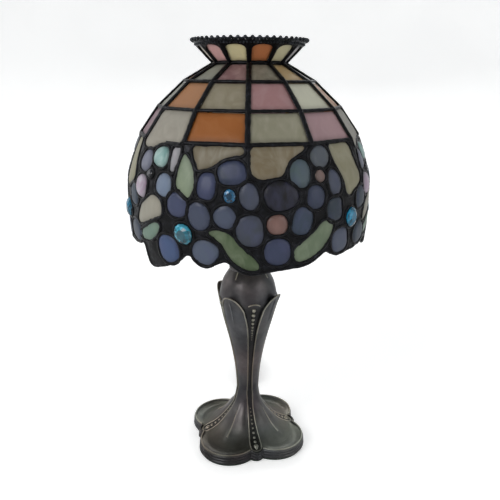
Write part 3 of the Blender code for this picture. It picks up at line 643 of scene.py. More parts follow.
def make_dome():
    for row in range(3):
        for sector in range(-6, 6):
            if row == 2 and sector % 4 == DIPPING_SECTOR:
                continue
            panel = Panel(row, sector)
            make_pane(f"pane_row_{row + 1}_{sector + 7:02d}", pane_outline(panel), panel,
                      cell_kind(row, sector), "shade", tone=PANE_TONES.get((row, sector)))
    cames = Shells()
    for k in range(PANELS):
        azimuth = k * PANEL_TURN
        line = []
        for (r0, z0), (r1, z1) in zip(ROW_LINES, ROW_LINES[1:]):
            steps = 14
            line += [(azimuth * SKIRT_DEGREE, z0 + (z1 - z0) * i / steps) for i in range(steps)]
        line.append((azimuth * SKIRT_DEGREE, SKIRT_TOP + 0.05))
        centres = [SKIRT.point(x, z) for x, z in line]
        normals = [SKIRT.normal(x, min(max(z, SKIRT_TOP + 0.3), 348.1)) for x, z in line]
        cames.add(tube_shell(centres, normals, 2.0, 1.0, closed=False, lumps=0.16, seed=k + 0.3))
    for ring, (radius, height) in enumerate(ROW_LINES):
        corners = [polar(radius, k * PANEL_TURN + SHADE_TURN, height) for k in range(PANELS)]
        steps = max(5, round(radius / 6))
        runs = [[]]
        for i in range(PANELS * steps):
            sector = i // steps
            if ring == 3 and sector % 4 == DIPPING_SECTOR:
                if runs[-1]:
                    runs.append([])
                continue
            x = i / steps * PANEL_TURN * SKIRT_DEGREE
            z = min(max(height, SKIRT_TOP + 0.4), 348.0)
            start, end = corners[sector], corners[(sector + 1) % PANELS]
            runs[-1].append((start.lerp(end, i % steps / steps), SKIRT.normal(x, z)))
        if ring == 3:
            runs = [runs[-1] + runs[0]] + runs[1:-1]
        for run in runs:
            centres, normals = zip(*run)
            half, rise = RING_TUBES[ring]
            cames.add(tube_shell(centres, normals, half, rise, closed=ring < 3, lumps=0.18,
                                 seed=ring + 7.7))
    lines = cames.build("dome_solder_lines", SOLDER, "shade", "dark_solder")
    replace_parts(lines, "dome_leading", "dome_glass_row_1", "dome_glass_row_2", "dome_glass_row_3")


def make_crown():
    low, shoulder, high, half = 0.0, 11.6, 18.9, 8.6
    for sector in range(-6, 6):
        middle = (sector + 0.5) * PANEL_TURN * CROWN_DEGREE
        outline = [(middle - half, low), (middle + half, low)]
        for i in range(17):
            a = math.pi * i / 16
            across = math.copysign(abs(math.cos(a)) ** 0.7, math.cos(a))
            outline.append((middle + half * across, shoulder + (high - shoulder) * math.sin(a)))
        kind = (YELLOW, (PINK, ORANGE)[(sector // 2 + 1) % 2])[sector % 2 == 0]
        make_pane(f"crown_pane_{sector + 7:02d}", resample(outline, 1.6), CROWN, kind, "shade",
                  tone=scaled(CROWN_TONES.get(sector) or tone_of(kind), CROWN_PAINTED_LIGHT),
                  dome=0.7, grain=2.6, lift=-0.9)
    lines = Shells()
    for k in range(PANELS):
        x = k * PANEL_TURN * CROWN_DEGREE
        line = [(x, i * 1.2 - 0.2) for i in range(17)]
        lines.add(bead_on(CROWN, line, lambda t: 1.7 + 0.9 * t, 1.1, closed=False, lumps=0.14,
                          seed=k + 3.1))
    ribs = lines.build("crown_solder_ribs", SOLDER, "shade", "dark_solder")
    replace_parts(ribs, "crown_leading", "crown_glass", "gallery_band")
    band = crown_strip(11.0, 20.2, 18.0, -1.0, 0.9)
    make_piece("crown_spandrels", *band, SOLDER, "shade", "dark_solder", sharp=40)
    make_gallery()


def crown_strip(low, high, arch_top, back, front):
    """A strip round the crown whose lower edge follows the arches of the panes."""
    steps = PANELS * 24
    sections = []
    for i in range(steps):
        azimuth = 360 * i / steps
        x = azimuth * CROWN_DEGREE
        across = abs((azimuth % PANEL_TURN) / PANEL_TURN - 0.5) * 2
        drop = 1 - math.sqrt(max(0.0, 1 - min(across * 1.16, 1) ** 2.6))
        edge = arch_top - (arch_top - low) * drop
        sections.append([CROWN.place(x, edge, back), CROWN.place(x, high, back),
                         CROWN.place(x, high, front), CROWN.place(x, edge, front)])
    return loft_shell(sections)


def make_gallery():
    """The stamped brass band round the rim: pierced with small drops, beaded, with a toothed edge."""
    cells, low, high = 54, 19.2, 23.3
    width = 360 * CROWN_DEGREE / cells
    band = Shells()
    thick = 0.9
    vertices, faces = [], []
    ring = 12
    for c in range(cells):
        middle = (c + 0.5) * width
        outer, hole = [], []
        for k in range(ring):
            a = 2 * math.pi * (k + 0.5) / ring
            u, v = math.cos(a), math.sin(a)
            reach = 1 / max(abs(u), abs(v))
            y = (low + high) / 2 - 0.1 + v * reach * (high - low) / 2
            if v * reach > 0.9:
                y += 0.9 * (1 - (u * reach) ** 2)
            outer.append((middle + u * reach * width / 2, y))
            hole.append((middle + u * 0.45, (low + high) / 2 + 0.5 + v * (0.55 + 0.1 * v)))
        base = len(vertices)
        for lift in (0.5, 0.5 - thick):
            vertices += [CROWN.place(x, y, lift) for x, y in outer + hole]
        count = 2 * ring
        for k in range(ring):
            m = (k + 1) % ring
            o0, o1, h0, h1 = base + k, base + m, base + ring + k, base + ring + m
            faces.append((o0, o1, h1, h0))
            faces.append((h0 + count, h1 + count, o1 + count, o0 + count))
            faces.append((h0, h1, h1 + count, h0 + count))
            side = 0.5 < abs(outer[k][0] - middle) / (width / 2) > 0.99
            side = side and abs(outer[m][0] - middle) / (width / 2) > 0.99
            side = side and (outer[k][0] - middle) * (outer[m][0] - middle) > 0
            if not side:
                faces.append((o0 + count, o1 + count, o1, o0))
    gallery = make_piece("gallery_band_pierced", vertices, faces, GALLERY, "shade", "dark_solder",
                         sharp=35)
    weld(gallery)
    beads = Shells()
    for c in range(cells * 2):
        x = (c + 0.5) * width / 2
        beads.add(ball_shell(CROWN.place(x, low + 0.4, 0.6), 0.95, axis=CROWN.normal(x, low)))
    for c in range(cells):
        x = (c + 0.5) * width
        beads.add(ball_shell(CROWN.place(x, high + 0.4, 0.0), 1.5, axis=CROWN.normal(x, high)))
        beads.add(ball_shell(CROWN.place(x + width / 2, high - 0.8, 0.4), 0.85,
                             axis=CROWN.normal(x, high)))
    beads.build("gallery_beads", GALLERY, "shade", "dark_solder")


def weld(piece, distance=0.02):
    """Joins doubled points and turns every face outwards."""
    import bmesh
    work = bmesh.new()
    work.from_mesh(piece.data)
    bmesh.ops.remove_doubles(work, verts=work.verts, dist=distance * MM)
    bmesh.ops.recalc_face_normals(work, faces=work.faces)
    if work.calc_volume(signed=True) < 0:
        bmesh.ops.reverse_faces(work, faces=work.faces)
    work.to_mesh(piece.data)
    work.free()


# ---- The skirt's mosaic ---------------------------------------------------------------------------

# The skirt's lower edge, as azimuth and height. The first repeat has a straight step in it.
STEP_EDGE = ((-62, 211), (-59.5, 211), (-57.5, 212.5), (-54.9, 212.6), (-53.9, 207),
             (-52.8, 198.6), (-51.7, 195.6), (-49.5, 195),
             (-42, 198.5), (-37, 202), (-35, 203.2))
PLAIN_EDGE = ((-62, 211), (-59.5, 211), (-55, 212.5), (-51, 213.6), (-48, 213), (-46, 210.5),
              (-43.5, 205.5), (-40.5, 201.8), (-37, 200.8), (-35, 202.2))
SHARED_EDGE = ((-31.8, 206.8), (-28.8, 211.6), (-26.6, 212.5), (-24.3, 210.7), (-20.5, 206),
               (-18, 205), (-15, 207), (-12, 209.6), (-9.8, 209.8), (-8, 207.5), (-5, 202.5),
               (-2, 200), (3, 200), (7.5, 202), (17, 203.8), (22, 204), (26.5, 206), (30, 209.7),
               (33.3, 213.3), (35, 213.4), (38, 210.3), (41, 208.6), (45.5, 208.5), (50, 209.8),
               (54, 209))
BOTTOM_EDGE = [(azimuth + turn, height) for turn, start in zip(REPEATS, (STEP_EDGE, PLAIN_EDGE,
                                                                        PLAIN_EDGE))
               for azimuth, height in start + SHARED_EDGE]

# Nuggets of glass: azimuth and height of the middle, width, height, lean in degrees, squareness
# (2 is an oval, more is squarer) and colour.
NUGGETS = {
    "petal_01": (-6.7, 273.7, 20.5, 16.6, 6, 2.3, (44, 53, 74)),
    "petal_02": (-17.2, 263.9, 14.4, 18.7, -8, 2.2, (58, 65, 93)),
    "petal_03": (0.2, 257.7, 14.0, 17.9, 4, 2.4, (67, 72, 86)),
    "petal_04": (-9.8, 242.6, 16.0, 16.3, 0, 2.2, (74, 82, 100)),
    "petal_05": (-20.8, 242.0, 16.4, 20.8, 8, 2.3, (68, 75, 94)),
    "petal_06": (0.1, 232.9, 18.9, 22.7, 0, 3.0, (60, 65, 75)),
    "petal_07": (-19.0, 215.2, 20.6, 19.0, 20, 2.2, (80, 89, 107)),
    "petal_08": (11.3, 216.9, 19.8, 20.6, 0, 2.3, (54, 61, 85)),
    "petal_09": (13.1, 257.8, 24.6, 20.8, 0, 2.4, (17, 16, 19)),
    "petal_10": (-53.1, 276.7, 14.6, 15.2, -24, 2.3, (114, 117, 132)),
    "petal_11": (-38.1, 261.7, 15.6, 16.5, -14, 2.3, (120, 135, 155)),
    "petal_12": (-31.0, 248.5, 17.0, 17.6, -10, 2.5, (63, 70, 97)),
    "petal_13": (-37.3, 213.6, 21.0, 21.5, 8, 2.1, (65, 83, 120)),
    "petal_14": (22.2, 272.6, 16.0, 19.0, -10, 2.2, (73, 88, 91)),
    "petal_15": (33.5, 283.4, 18.4, 14.8, 14, 2.3, (86, 92, 95)),
    "petal_16": (39.1, 264.5, 12.6, 18.2, 4, 2.2, (70, 76, 89)),
    "petal_17": (28.4, 255.4, 15.2, 16.9, -6, 2.3, (53, 60, 79)),
    "petal_18": (38.5, 244.5, 15.8, 18.6, 4, 2.4, (50, 60, 71)),
    "petal_19": (22.0, 238.6, 16.0, 21.0, -16, 2.3, (52, 64, 80)),
    "petal_20": (58.4, 249.1, 16.4, 17.0, 0, 2.3, (50, 61, 72)),
    "petal_21": (42.6, 219.2, 19.0, 19.2, 10, 2.4, (82, 89, 104)),
    "petal_22": (58.2, 220.4, 19.4, 17.6, 0, 2.3, (51, 62, 73)),
}
# Domed cabochons: the same, with their kind of finish.
CABOCHONS = {
    "cabochon_green": (-42.9, 281.0, 16.6, 14.6, -4, 2.2, (116, 152, 148), "pearl"),
    "cabochon_pink_pearl": (-53.7, 257.8, 16.0, 16.8, -16, 2.2, (170, 150, 168), "pearl"),
    "cabochon_pink_large": (11.2, 237.4, 15.4, 15.0, 6, 2.0, (114, 86, 80), "satin"),
    "cabochon_pink_small": (31.3, 270.2, 9.0, 8.6, 0, 2.0, (98, 84, 80), "satin"),
}
# Faceted jewels: azimuth, height, width, height, lean and colour.
JEWELS = {
    "jewel_small": (-7.5, 258.0, 8.6, 9.6, 0, (24, 100, 142)),
    "jewel_large": (-28.3, 227.7, 15.0, 15.8, 24, (48, 152, 178)),
    "jewel_oval": (49.4, 235.6, 13.4, 15.6, 0, (24, 122, 158)),
    "jewel_dark": (-47.8, 268.2, 6.4, 5.6, 0, (22, 27, 36)),
}
# Cut shapes: their corners as azimuth and height, with how far the corners are rounded.
CUT_SHAPES = {
    "leaf_pale": ("green", (112, 124, 103), 2, (
        (-28.5, 285.7), (-25.4, 279.8), (-23.2, 272.6), (-22.6, 265.3), (-23.2, 259.5),
        (-25.1, 253.1), (-27.6, 256.4), (-31.2, 262), (-31.3, 266.7), (-30.3, 276.2), (-29.4, 282))),
    "leaf_swirl": ("green", (72, 86, 60), 2, (
        (-17.5, 230.4), (-15.9, 232.2), (-12, 233.1), (-8.6, 230.8), (-6, 226.3), (-3.4, 220.7),
        (-0.8, 216.2), (1.9, 211.6), (3.6, 206.9), (3.7, 203.4), (0.8, 202.6), (-2.7, 204.2),
        (-5, 206.4), (-7.1, 209.8), (-9, 213.4), (-10.3, 218.5), (-11.9, 223.5), (-14.2, 227))),
    "leaf_right": ("green", (97, 110, 88), 2, (
        (31.2, 236.4), (35.0, 237.4), (38.0, 235.0), (37.2, 228.6), (35.0, 221.9), (32.2, 216.2),
        (29.4, 212.5), (25.3, 209.0), (21.3, 207.6), (19.2, 208.8), (18, 214.7), (18.8, 219.7),
        (23.6, 224.5), (28.2, 230.4))),
    "leaf_low": ("green", (104, 127, 114), 2, (
        (-57.4, 221.0), (-45.4, 232.0), (-40.7, 232.3), (-43, 224.3), (-48.8, 216.0),
        (-57.2, 216.0))),
    "sky_left": (CREAM, (96, 86, 64), 1, (
        (-25.9, 290.4), (-10.6, 291.2), (-1.5, 291.2), (-1.6, 285.8), (-8.4, 284.3), (-10.5, 282.6),
        (-13, 279.7), (-15.8, 277.2), (-20.9, 274.7), (-21.8, 275), (-23.5, 280.5))),
    "sky_middle": (CREAM, (112, 100, 77), 1, (
        (1.2, 291.2), (7.5, 291.2), (26.4, 291.2), (25.9, 288.8), (21.6, 285), (18.7, 281.9),
        (16.9, 278.1), (14.7, 271.7), (10.2, 270.2), (5.2, 268.9), (2, 272.2), (1.0, 275))),
    "sky_right": (CREAM, (128, 124, 101), 1, (
        (40.6, 291.2), (49.7, 291.2), (56.0, 290.5), (56.2, 281.7), (57.2, 274), (58.6, 268),
        (58.6, 262.2), (54.6, 258.4), (50.7, 255.7), (49.1, 253), (46.9, 253.9), (45.4, 257.7),
        (45.3, 265), (43.5, 272.6), (41.5, 280))),
    "pane_slim": ("rose", (135, 135, 138), 0, (
        (-36.2, 288.4), (-30.9, 288.8), (-31.3, 281.8), (-33.6, 271.0), (-35.4, 272.4),
        (-36.2, 279.4))),
    "pane_dipping": (CREAM, (133, 128, 117), 1, (
        (-58.7, 289.5), (-57.5, 287.2), (-55, 286.3), (-52, 286.6), (-49, 288.4), (-46, 290.6),
        (-42, 291.6), (-31.2, 292.4), (-31.5, 313.4), (-58.5, 313.4))),
    "pane_bark": (CREAM, (142, 138, 126), 1, (
        (-45, 253.7), (-40.1, 250.7), (-39.2, 245.9), (-39.8, 238.8), (-47.9, 233.2),
        (-57.0, 227.4), (-58.4, 231.4), (-54.8, 242.9))),
}
PANE_TONES = {
    (0, -2): (124, 124, 112), (0, -1): (115, 86, 86), (0, 0): (106, 101, 88), (0, 1): (163, 141, 102),
    (1, -3): (140, 140, 130), (1, -2): (146, 104, 72), (1, -1): (122, 114, 94),
    (1, 0): (149, 112, 112), (1, 1): (186, 185, 166), (1, 2): (178, 140, 110),
    (2, -3): (128, 101, 110), (2, -2): (145, 140, 130), (2, -1): (138, 80, 30),
    (2, 0): (127, 124, 105), (2, 1): (152, 124, 127), (2, 2): (157, 156, 139),
}
CROWN_TONES = {-3: (157, 151, 140), -2: (167, 130, 127), -1: (177, 168, 131), 0: (142, 88, 56),
               1: (155, 150, 124), 2: (140, 137, 137)}
PETAL_SHADE = 0.94
GAP_LIFT = -0.5                  # the solder between the nuggets, against the shade's face
BEAD_HALF, BEAD_RISE = 1.15, 0.8
UNDER_BEAD = 0.45                # how far each piece of glass runs in under its bead


def bottom_height(azimuth):
    return lerp(BOTTOM_EDGE + [(298, 211)], (azimuth + 62) % 360 - 62)


def oval(azimuth, height, wide, tall, lean, square, points=36):
    """An oval on the skirt, as x and y in the face's millimetres, counter-clockwise."""
    stretch = SKIRT_DEGREE / math.radians(shade_radius(azimuth, height))
    wobble = [rng.uniform(-0.035, 0.035) for _ in range(3)]
    turn = math.radians(lean)
    outline = []
    for i in range(points):
        a = 2 * math.pi * i / points
        reach = (abs(math.cos(a)) ** square + abs(math.sin(a)) ** square) ** (-1 / square)
        reach *= 1 + sum(w * math.cos((k + 2) * a + 9 * w) for k, w in enumerate(wobble))
        u, v = wide / 2 * math.cos(a) * reach, tall / 2 * math.sin(a) * reach
        u, v = (u * math.cos(turn) - v * math.sin(turn), u * math.sin(turn) + v * math.cos(turn))
        outline.append((azimuth * SKIRT_DEGREE + u * stretch, height + v))
    return outline


def shifted(outline, degrees):
    return [(x + degrees * SKIRT_DEGREE, y) for x, y in outline]


def facet_jewel(azimuth, height, wide, tall, lean):
    """A faceted jewel: girdle, two rows of crown facets and a table. Returns its shell and a tint
    for each facet, brighter towards the top and the light."""
    rings = ((1.0, 0.0, 0.0), (0.99, 0.9, 0.0), (0.8, 2.3, 0.5), (0.48, 3.3, 0.0))
    count = 12
    vertices, faces, tints = [], [], []
    turn = math.radians(lean)
    stretch = SKIRT_DEGREE / math.radians(shade_radius(azimuth, height))
    size = min(wide, tall) / 15
    spots = []
    for scale, lift, half_step in rings:
        for k in range(count):
            a = 2 * math.pi * (k + half_step) / count
            u, v = wide / 2 * scale * math.cos(a), tall / 2 * scale * math.sin(a)
            u, v = (u * math.cos(turn) - v * math.sin(turn), u * math.sin(turn) + v * math.cos(turn))
            spots.append((2 * u / wide, 2 * v / tall))
            vertices.append(SKIRT.place(azimuth * SKIRT_DEGREE + u * stretch, height + v,
                                        0.4 + lift * size))

    def facet(*corners):
        u = sum(spots[i][0] for i in corners) / len(corners)
        v = sum(spots[i][1] for i in corners) / len(corners)
        faces.append(corners)
        tints.append(min(1.0, max(0.0, 0.4 + 0.22 * v - 0.12 * u + rng.uniform(-0.3, 0.3))))

    for k in range(count):
        m = (k + 1) % count
        girdle, shoulder, crown, table = (ring * count for ring in range(4))
        facet(girdle + k, girdle + m, shoulder + m, shoulder + k)
        facet(shoulder + k, shoulder + m, crown + k)
        facet(crown + k, shoulder + m, crown + m)
        facet(crown + k, table + m, table + k)
        facet(crown + k, crown + m, table + m)
    facet(*range(3 * count, 4 * count))
    faces.append(tuple(reversed(range(count))))
    tints.append(0.2)
    return (vertices, faces), tints


def make_skirt():
    outlines = []
    for name, (azimuth, height, wide, tall, lean, square, tone) in NUGGETS.items():
        outline = grown(oval(azimuth, height, wide, tall, lean, square), UNDER_BEAD)
        outlines.append(outline)
        for k, turn in enumerate(REPEATS):
            shell, depth = glass_shell(shifted(outline, turn), SKIRT, GAP_LIFT, 1.3, 4.5, 2.3, 0.12,
                                       rng.random() * 50, PANE_BACK)
            piece = make_piece(f"{name}_{k + 1}", *shell, GLASS["blue"], "shade", SLOTS["blue"],
                               depth=depth, sharp=60)
            piece.color = srgb(*scaled(tone, PETAL_SHADE * (1 if k == 0 else rng.uniform(0.93, 1.08))))
    for name, (azimuth, height, wide, tall, lean, square, tone, finish) in CABOCHONS.items():
        outline = grown(oval(azimuth, height, wide, tall, lean, square), UNDER_BEAD)
        outlines.append(outline)
        for k, turn in enumerate(REPEATS):
            size = min(wide, tall)
            shell, depth = glass_shell(shifted(outline, turn), SKIRT, GAP_LIFT, 0.17 * size,
                                       size * 0.45, size / 11, 0.0, 1.0, PANE_BACK)
            piece = make_piece(f"{name}_{k + 1}", *shell, GLASS[finish], "shade", SLOTS[finish],
                               depth=depth, sharp=60)
            piece.color = srgb(*tone)
    for name, (azimuth, height, wide, tall, lean, tone) in JEWELS.items():
        outline = oval(azimuth, height, wide * 1.02, tall * 1.02, lean, 2.0)
        outlines.append(outline)
        for k, turn in enumerate(REPEATS):
            shell, tints = facet_jewel(azimuth + turn, height, wide, tall, lean)
            piece = make_piece(f"{name}_{k + 1}", *shell, GLASS["jewel"], "shade", SLOTS["jewel"],
                               tint=tints, sharp=4)
            piece.color = srgb(*tone)
    for name, (kind, tone, softness, corners) in CUT_SHAPES.items():
        outline = [(azimuth * SKIRT_DEGREE, height) for azimuth, height in corners]
        outline = counter_clockwise(resample(rounded(outline, softness), 1.6))
        outline = grown(outline, UNDER_BEAD)
        outlines.append(outline)
        for k, turn in enumerate(REPEATS):
            shell, depth = glass_shell(shifted(outline, turn), SKIRT, GAP_LIFT, 0.8, 3.5, 2.8, 0.16,
                                       rng.random() * 50, PANE_BACK)
            piece = make_piece(f"{name}_{k + 1}", *shell, GLASS[kind], "shade", SLOTS[kind],
                               depth=depth, sharp=60)
            piece.color = srgb(*scaled(tone, 1.0 if k == 0 else rng.uniform(0.94, 1.06)))
    make_skirt_solder(outlines)


def make_skirt_solder(outlines):
    steps, rows = 360, 30
    outer_at = []
    for i in range(steps):
        azimuth = 360 * i / steps
        low = bottom_height(azimuth + 0.0)
        x = azimuth * SKIRT_DEGREE
        section = []
        for j in range(rows + 1):
            z = low + (SKIRT_TOP - low) * j / rows
            swell = 0.22 * noise.noise(polar(shade_radius(azimuth, z), azimuth, z) * 0.16)
            section.append(SKIRT.place(x, z, GAP_LIFT + 0.12 + swell))
        section += [SKIRT.place(x, low + (SKIRT_TOP - low) * j / 8, GAP_LIFT - 1.5)
                    for j in range(8, -1, -1)]
        outer_at.append(section)
    make_piece("skirt_solder_web", *loft_shell(outer_at), SOLDER, "shade", "dark_solder")
    for k, turn in enumerate(REPEATS):
        beads = Shells()
        for n, outline in enumerate(outlines):
            path = shifted(grown(resample(outline, 1.5), BEAD_HALF * 0.75), turn)
            beads.add(bead_on(SKIRT, path, BEAD_HALF, BEAD_RISE, GAP_LIFT + 0.25, sides=8,
                              lumps=0.22, seed=n * 1.7 + k))
        beads.build(f"skirt_solder_beads_{k + 1}", SOLDER, "shade", "dark_solder")
    edge = [(azimuth * SKIRT_DEGREE, height) for azimuth, height in BOTTOM_EDGE + [(298, 211)]]
    edge = resample(rounded(edge, 1, closed=False), 1.6, closed=False)[:-1]
    wire = bead_on(SKIRT, edge, 1.5, 1.5, GAP_LIFT - 0.7, sides=10, lumps=0.12, seed=4.0)
    edge_bead = make_piece("skirt_edge_bead", *wire, SOLDER, "shade", "dark_solder")
    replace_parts(edge_bead, "skirt_mosaic", "skirt_edge_wire")


# ---- The foot --------------------------------------------------------------------------------------

FOOT_BOTTOM = 1.8
PAD_CENTRE, PAD_RADIUS = 30.2, 27.8
LOBE_CENTRE, LOBE_RADIUS = 41.0, 6.3
EDGE_TOP = 10.5
WAIST_Z, WAIST_R = 52.0, 10.0
WAIST_NOTCH = 1.1                # depth of the groove of each string of beads at the waist
FOOT_WALL, WEB_Z, BORE_R = 3.2, 23.0, 5.4
STRING_LINE = ((10, 52), (11.5, 43), (14, 35.5), (18, 28.5), (22, 23.7), (27, 18.7), (32, 14.8),
               (38.5, 11.4), (43, 9.3), (48, 8.3))
PAD_LINE = ((10, 52), (11.4, 45), (14, 38), (19, 30.5), (25, 23.5), (30, 19), (35, 15.5), (40, 12.8),
            (45, 11), (50, 10), (58, 9.6))
STRINGS = (0, 90, 180, 270)
GROOVE_HALF = ((9.4, 2.6), (14, 2.5), (20, 3.0), (27, 4.0), (34, 4.9), (38, 5.1), (42.4, 4.8))


def circle_reach(centre, radius, offset):
    """How far a ray at this angle from a circle's centre line goes before it leaves the circle."""
    across = centre * math.sin(math.radians(offset))
    room = radius * radius - across * across
    if room <= 0 or abs(offset) > 90:
        return 0.0
    return centre * math.cos(math.radians(offset)) + math.sqrt(room)


def foot_reach(azimuth):
    from_lobe = (azimuth + 45) % 90 - 45
    from_pad = azimuth % 90 - 45
    return max(circle_reach(PAD_CENTRE, PAD_RADIUS, from_pad),
               circle_reach(LOBE_CENTRE, LOBE_RADIUS, from_lobe))


def string_share(azimuth):
    """1 on the line of a string of beads, falling to 0 beside it."""
    return 1 - smooth((abs((azimuth + 45) % 90 - 45) - 7) / 9)


def foot_height(radius, azimuth):
    """The upper surface: dished pads that rise to a midrib, and a valley for each string of beads."""
    radius += WAIST_NOTCH * string_share(azimuth) * (1 - smooth((radius - WAIST_R) / 10))
    towards_pad = smooth(abs(math.sin(math.radians(2 * azimuth))) * 1.15)
    low = curve(STRING_LINE, radius)
    height = low + (curve(PAD_LINE, radius) - low) * towards_pad
    off = math.radians(azimuth % 90 - 45)
    across, along = radius * math.sin(off), radius * math.cos(off)
    to_rim = PAD_RADIUS - math.hypot(along - PAD_CENTRE, across)
    dish = 2.1 * smooth((to_rim - 0.8) / 7) * smooth((radius - 17) / 14) * towards_pad
    ridge = 1.3 * math.exp(-(across / 2.4) ** 2) * smooth((radius - 11) / 6) * smooth((40 - radius) / 7)
    return height - dish + ridge


def foot_point(x, y):
    """x and y are the plan coordinates, with y towards the front."""
    radius = math.hypot(x, y)
    azimuth = math.degrees(math.atan2(x, y))
    return Vector((x, -y, foot_height(radius, azimuth)))


FOOT = Face(foot_point)


def foot_rim(reach, azimuth):
    return min(EDGE_TOP, foot_height(reach - 3, azimuth) + 0.6)


def foot_section(azimuth):
    reach = foot_reach(azimuth)
    rim = foot_rim(reach, azimuth)
    loop = []
    waist = WAIST_R - WAIST_NOTCH * string_share(azimuth)
    for i in range(31):
        radius = waist + (reach - 1.8 - waist) * (i / 30) ** 1.3
        loop.append((radius, foot_height(radius, azimuth)))
    loop += [(reach - 1.5, rim + 0.35), (reach - 1.0, rim + 0.6), (reach - 0.4, rim + 0.4),
             (reach - 0.1, rim)]
    step = (rim - FOOT_BOTTOM) / 3
    for i in range(3):
        top = rim - i * step
        for drop, out in ((0.12, 0.15), (0.25, 0.6), (0.5, 0.85), (0.75, 0.75), (0.92, 0.25)):
            loop.append((reach - 0.35 + 0.25 * i + out, top - drop * step))
    loop += [(reach + 0.4, FOOT_BOTTOM), (reach - FOOT_WALL, FOOT_BOTTOM)]
    for share in (0.0, 0.25, 0.5, 0.75, 1.0):
        radius = reach - FOOT_WALL + (18 - reach + FOOT_WALL) * share
        under = min(foot_height(radius + 1, azimuth) - FOOT_WALL, WEB_Z)
        loop.append((radius, max(under, FOOT_BOTTOM + 1)))
    return loop + [(BORE_R, WEB_Z), (BORE_R, WAIST_Z)]


def foot_groove(point):
    """1 in the groove of a string of beads, 0 outside its raised lines and off the top, except low on the
    foot's outer edge, which gets a painted shade towards the floor.
    """
    radius = math.hypot(point.x, point.y)
    azimuth = math.degrees(math.atan2(point.x, -point.y))
    off = math.radians((azimuth + 45) % 90 - 45)
    aside = abs(radius * math.sin(off)) - lerp(GROOVE_HALF, radius)
    on_top = smooth((point.z - 8.6) / 1.4)
    # painted shade: the foot's outer edge is darker below about 8 mm, towards the floor
    edge = 0.55 * (1 - smooth((point.z - 8.4) / 1.6)) * smooth((radius - 30) / 6)
    return max((1 - smooth((aside + 0.4) / 1.4)) * on_top, edge)


def groove_tint(shell, depth_at):
    vertices, faces = shell
    return [depth_at(sum((vertices[i] for i in face), Vector()) / len(face)) for face in faces]


def plan_line(points, azimuth):
    """Points as (outwards, across) turned to face an azimuth, as plan coordinates."""
    a = math.radians(azimuth)
    return [(along * math.sin(a) + across * math.cos(a), along * math.cos(a) - across * math.sin(a))
            for along, across in points]


def make_foot():
    sections = []
    steps = 288
    for i in range(steps):
        azimuth = 360 * i / steps
        sections.append([polar(r, azimuth, z) for r, z in foot_section(azimuth)])
    shell = loft_shell(sections)
    body = make_piece("foot_body", *shell, BRONZE_GROOVED, "root", "aged_bronze",
                      tint=groove_tint(shell, foot_groove), sharp=50)
    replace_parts(body, "foot_casting")
    lines, beads = Shells(), Shells()
    for k, azimuth in enumerate(STRINGS):
        one_side = [(r, lerp(GROOVE_HALF, r)) for r in np.arange(9.4, 40.4, 0.9)]
        bend = [(40.2 + 3.9 * math.cos(a), 4.9 * math.sin(a)) for a in np.linspace(1.5, -1.5, 15)]
        loop = one_side + bend + [(r, -w) for r, w in reversed(one_side)]
        lines.add(bead_on(FOOT, plan_line(loop, azimuth), 0.62, 0.75, 0.3, closed=False, sides=8))
        for radius, size in ((13.4, 0.6), (15.2, 0.68), (17.2, 0.78), (19.5, 0.9), (22.0, 1.04),
                             (24.8, 1.2), (28.0, 1.38), (31.6, 1.55), (35.3, 1.7)):
            x, y = plan_line([(radius, 0)], azimuth)[0]
            beads.add(ball_shell(FOOT.place(x, y, 0.45 * size), size, axis=FOOT.normal(x, y)))
        beads.add(teardrop_shell(azimuth, 40.4))
        pad = azimuth + 45
        rim = []
        for off in np.arange(-37, 37.1, 1.5):
            reach = foot_reach(pad + off)
            rim.append(polar(reach - 1.0, pad + off, foot_rim(reach, pad + off) + 0.75))
        lines.add(tube_shell(rim, [Vector((0, 0, 1))] * len(rim), 0.6, 0.6, closed=False, sides=8))
        rib = [(r, 0.0) for r in np.arange(17.5, 36.1, 1.1)]
        lines.add(bead_on(FOOT, plan_line(rib, pad), lambda t: 0.3 + 0.6 * t, 0.6, 0.2,
                          closed=False, sides=8))
    lines.build("foot_raised_lines", BRONZE_WORN_AND_HIGHLIT, "root", "aged_bronze")
    beads.build("foot_beads", BRONZE_WORN_AND_HIGHLIT, "root", "aged_bronze")


def teardrop_shell(azimuth, middle):
    """The pointed drop that ends a string of beads, its point towards the waist."""
    rings, sides = 9, 12
    sections = []
    for i in range(rings):
        t = i / (rings - 1)
        along = middle - 3.4 + 6.0 * t
        half = 2.3 * math.sin(math.pi * min(t, 0.999) ** 0.72) + 0.03
        section = []
        for k in range(sides):
            a = 2 * math.pi * k / sides
            x, y = plan_line([(along, half * math.cos(a))], azimuth)[0]
            section.append(FOOT.place(x, y, half * 0.75 * math.sin(a) + 0.4))
        sections.append(section)
    vertices = [p for section in sections for p in section]
    faces = []
    for i in range(rings - 1):
        for k in range(sides):
            m = (k + 1) % sides
            faces.append((i * sides + k, i * sides + m, (i + 1) * sides + m, (i + 1) * sides + k))
    faces.append(tuple(reversed(range(sides))))
    faces.append(tuple((rings - 1) * sides + k for k in range(sides)))
    return vertices, faces


# ---- The column ------------------------------------------------------------------------------------

LEAF_LINE = ((52, 10), (58, 10.2), (68, 11), (79, 12.3), (100, 16.3), (120, 21.6), (140, 26.9),
             (148, 30.0), (152.5, 32.4))
BUD_LINE = ((52, 9.2), (79, 11), (100, 14.8), (120, 20), (136, 25), (144, 26.4), (150, 25.9),
            (160, 23.5), (166, 20.6), (169, 18.6), (173, 16.2), (176, 15.6))
LEAF_GAP_LINE = ((52, 8.9), (63, 9.3), (82, 11.4), (97, 14.0), (112, 17.2), (124, 20.0), (136, 23.0))
LEAF_TIP_Z, LEAF_SPREAD_Z = 152.4, 136.0
LEAF_HALF_LINE = ((52, 31), (66, 33.5), (79, 34), (100, 34), (115, 33), (126, 30.5), (136, 26))
DECK_Z = 176.0


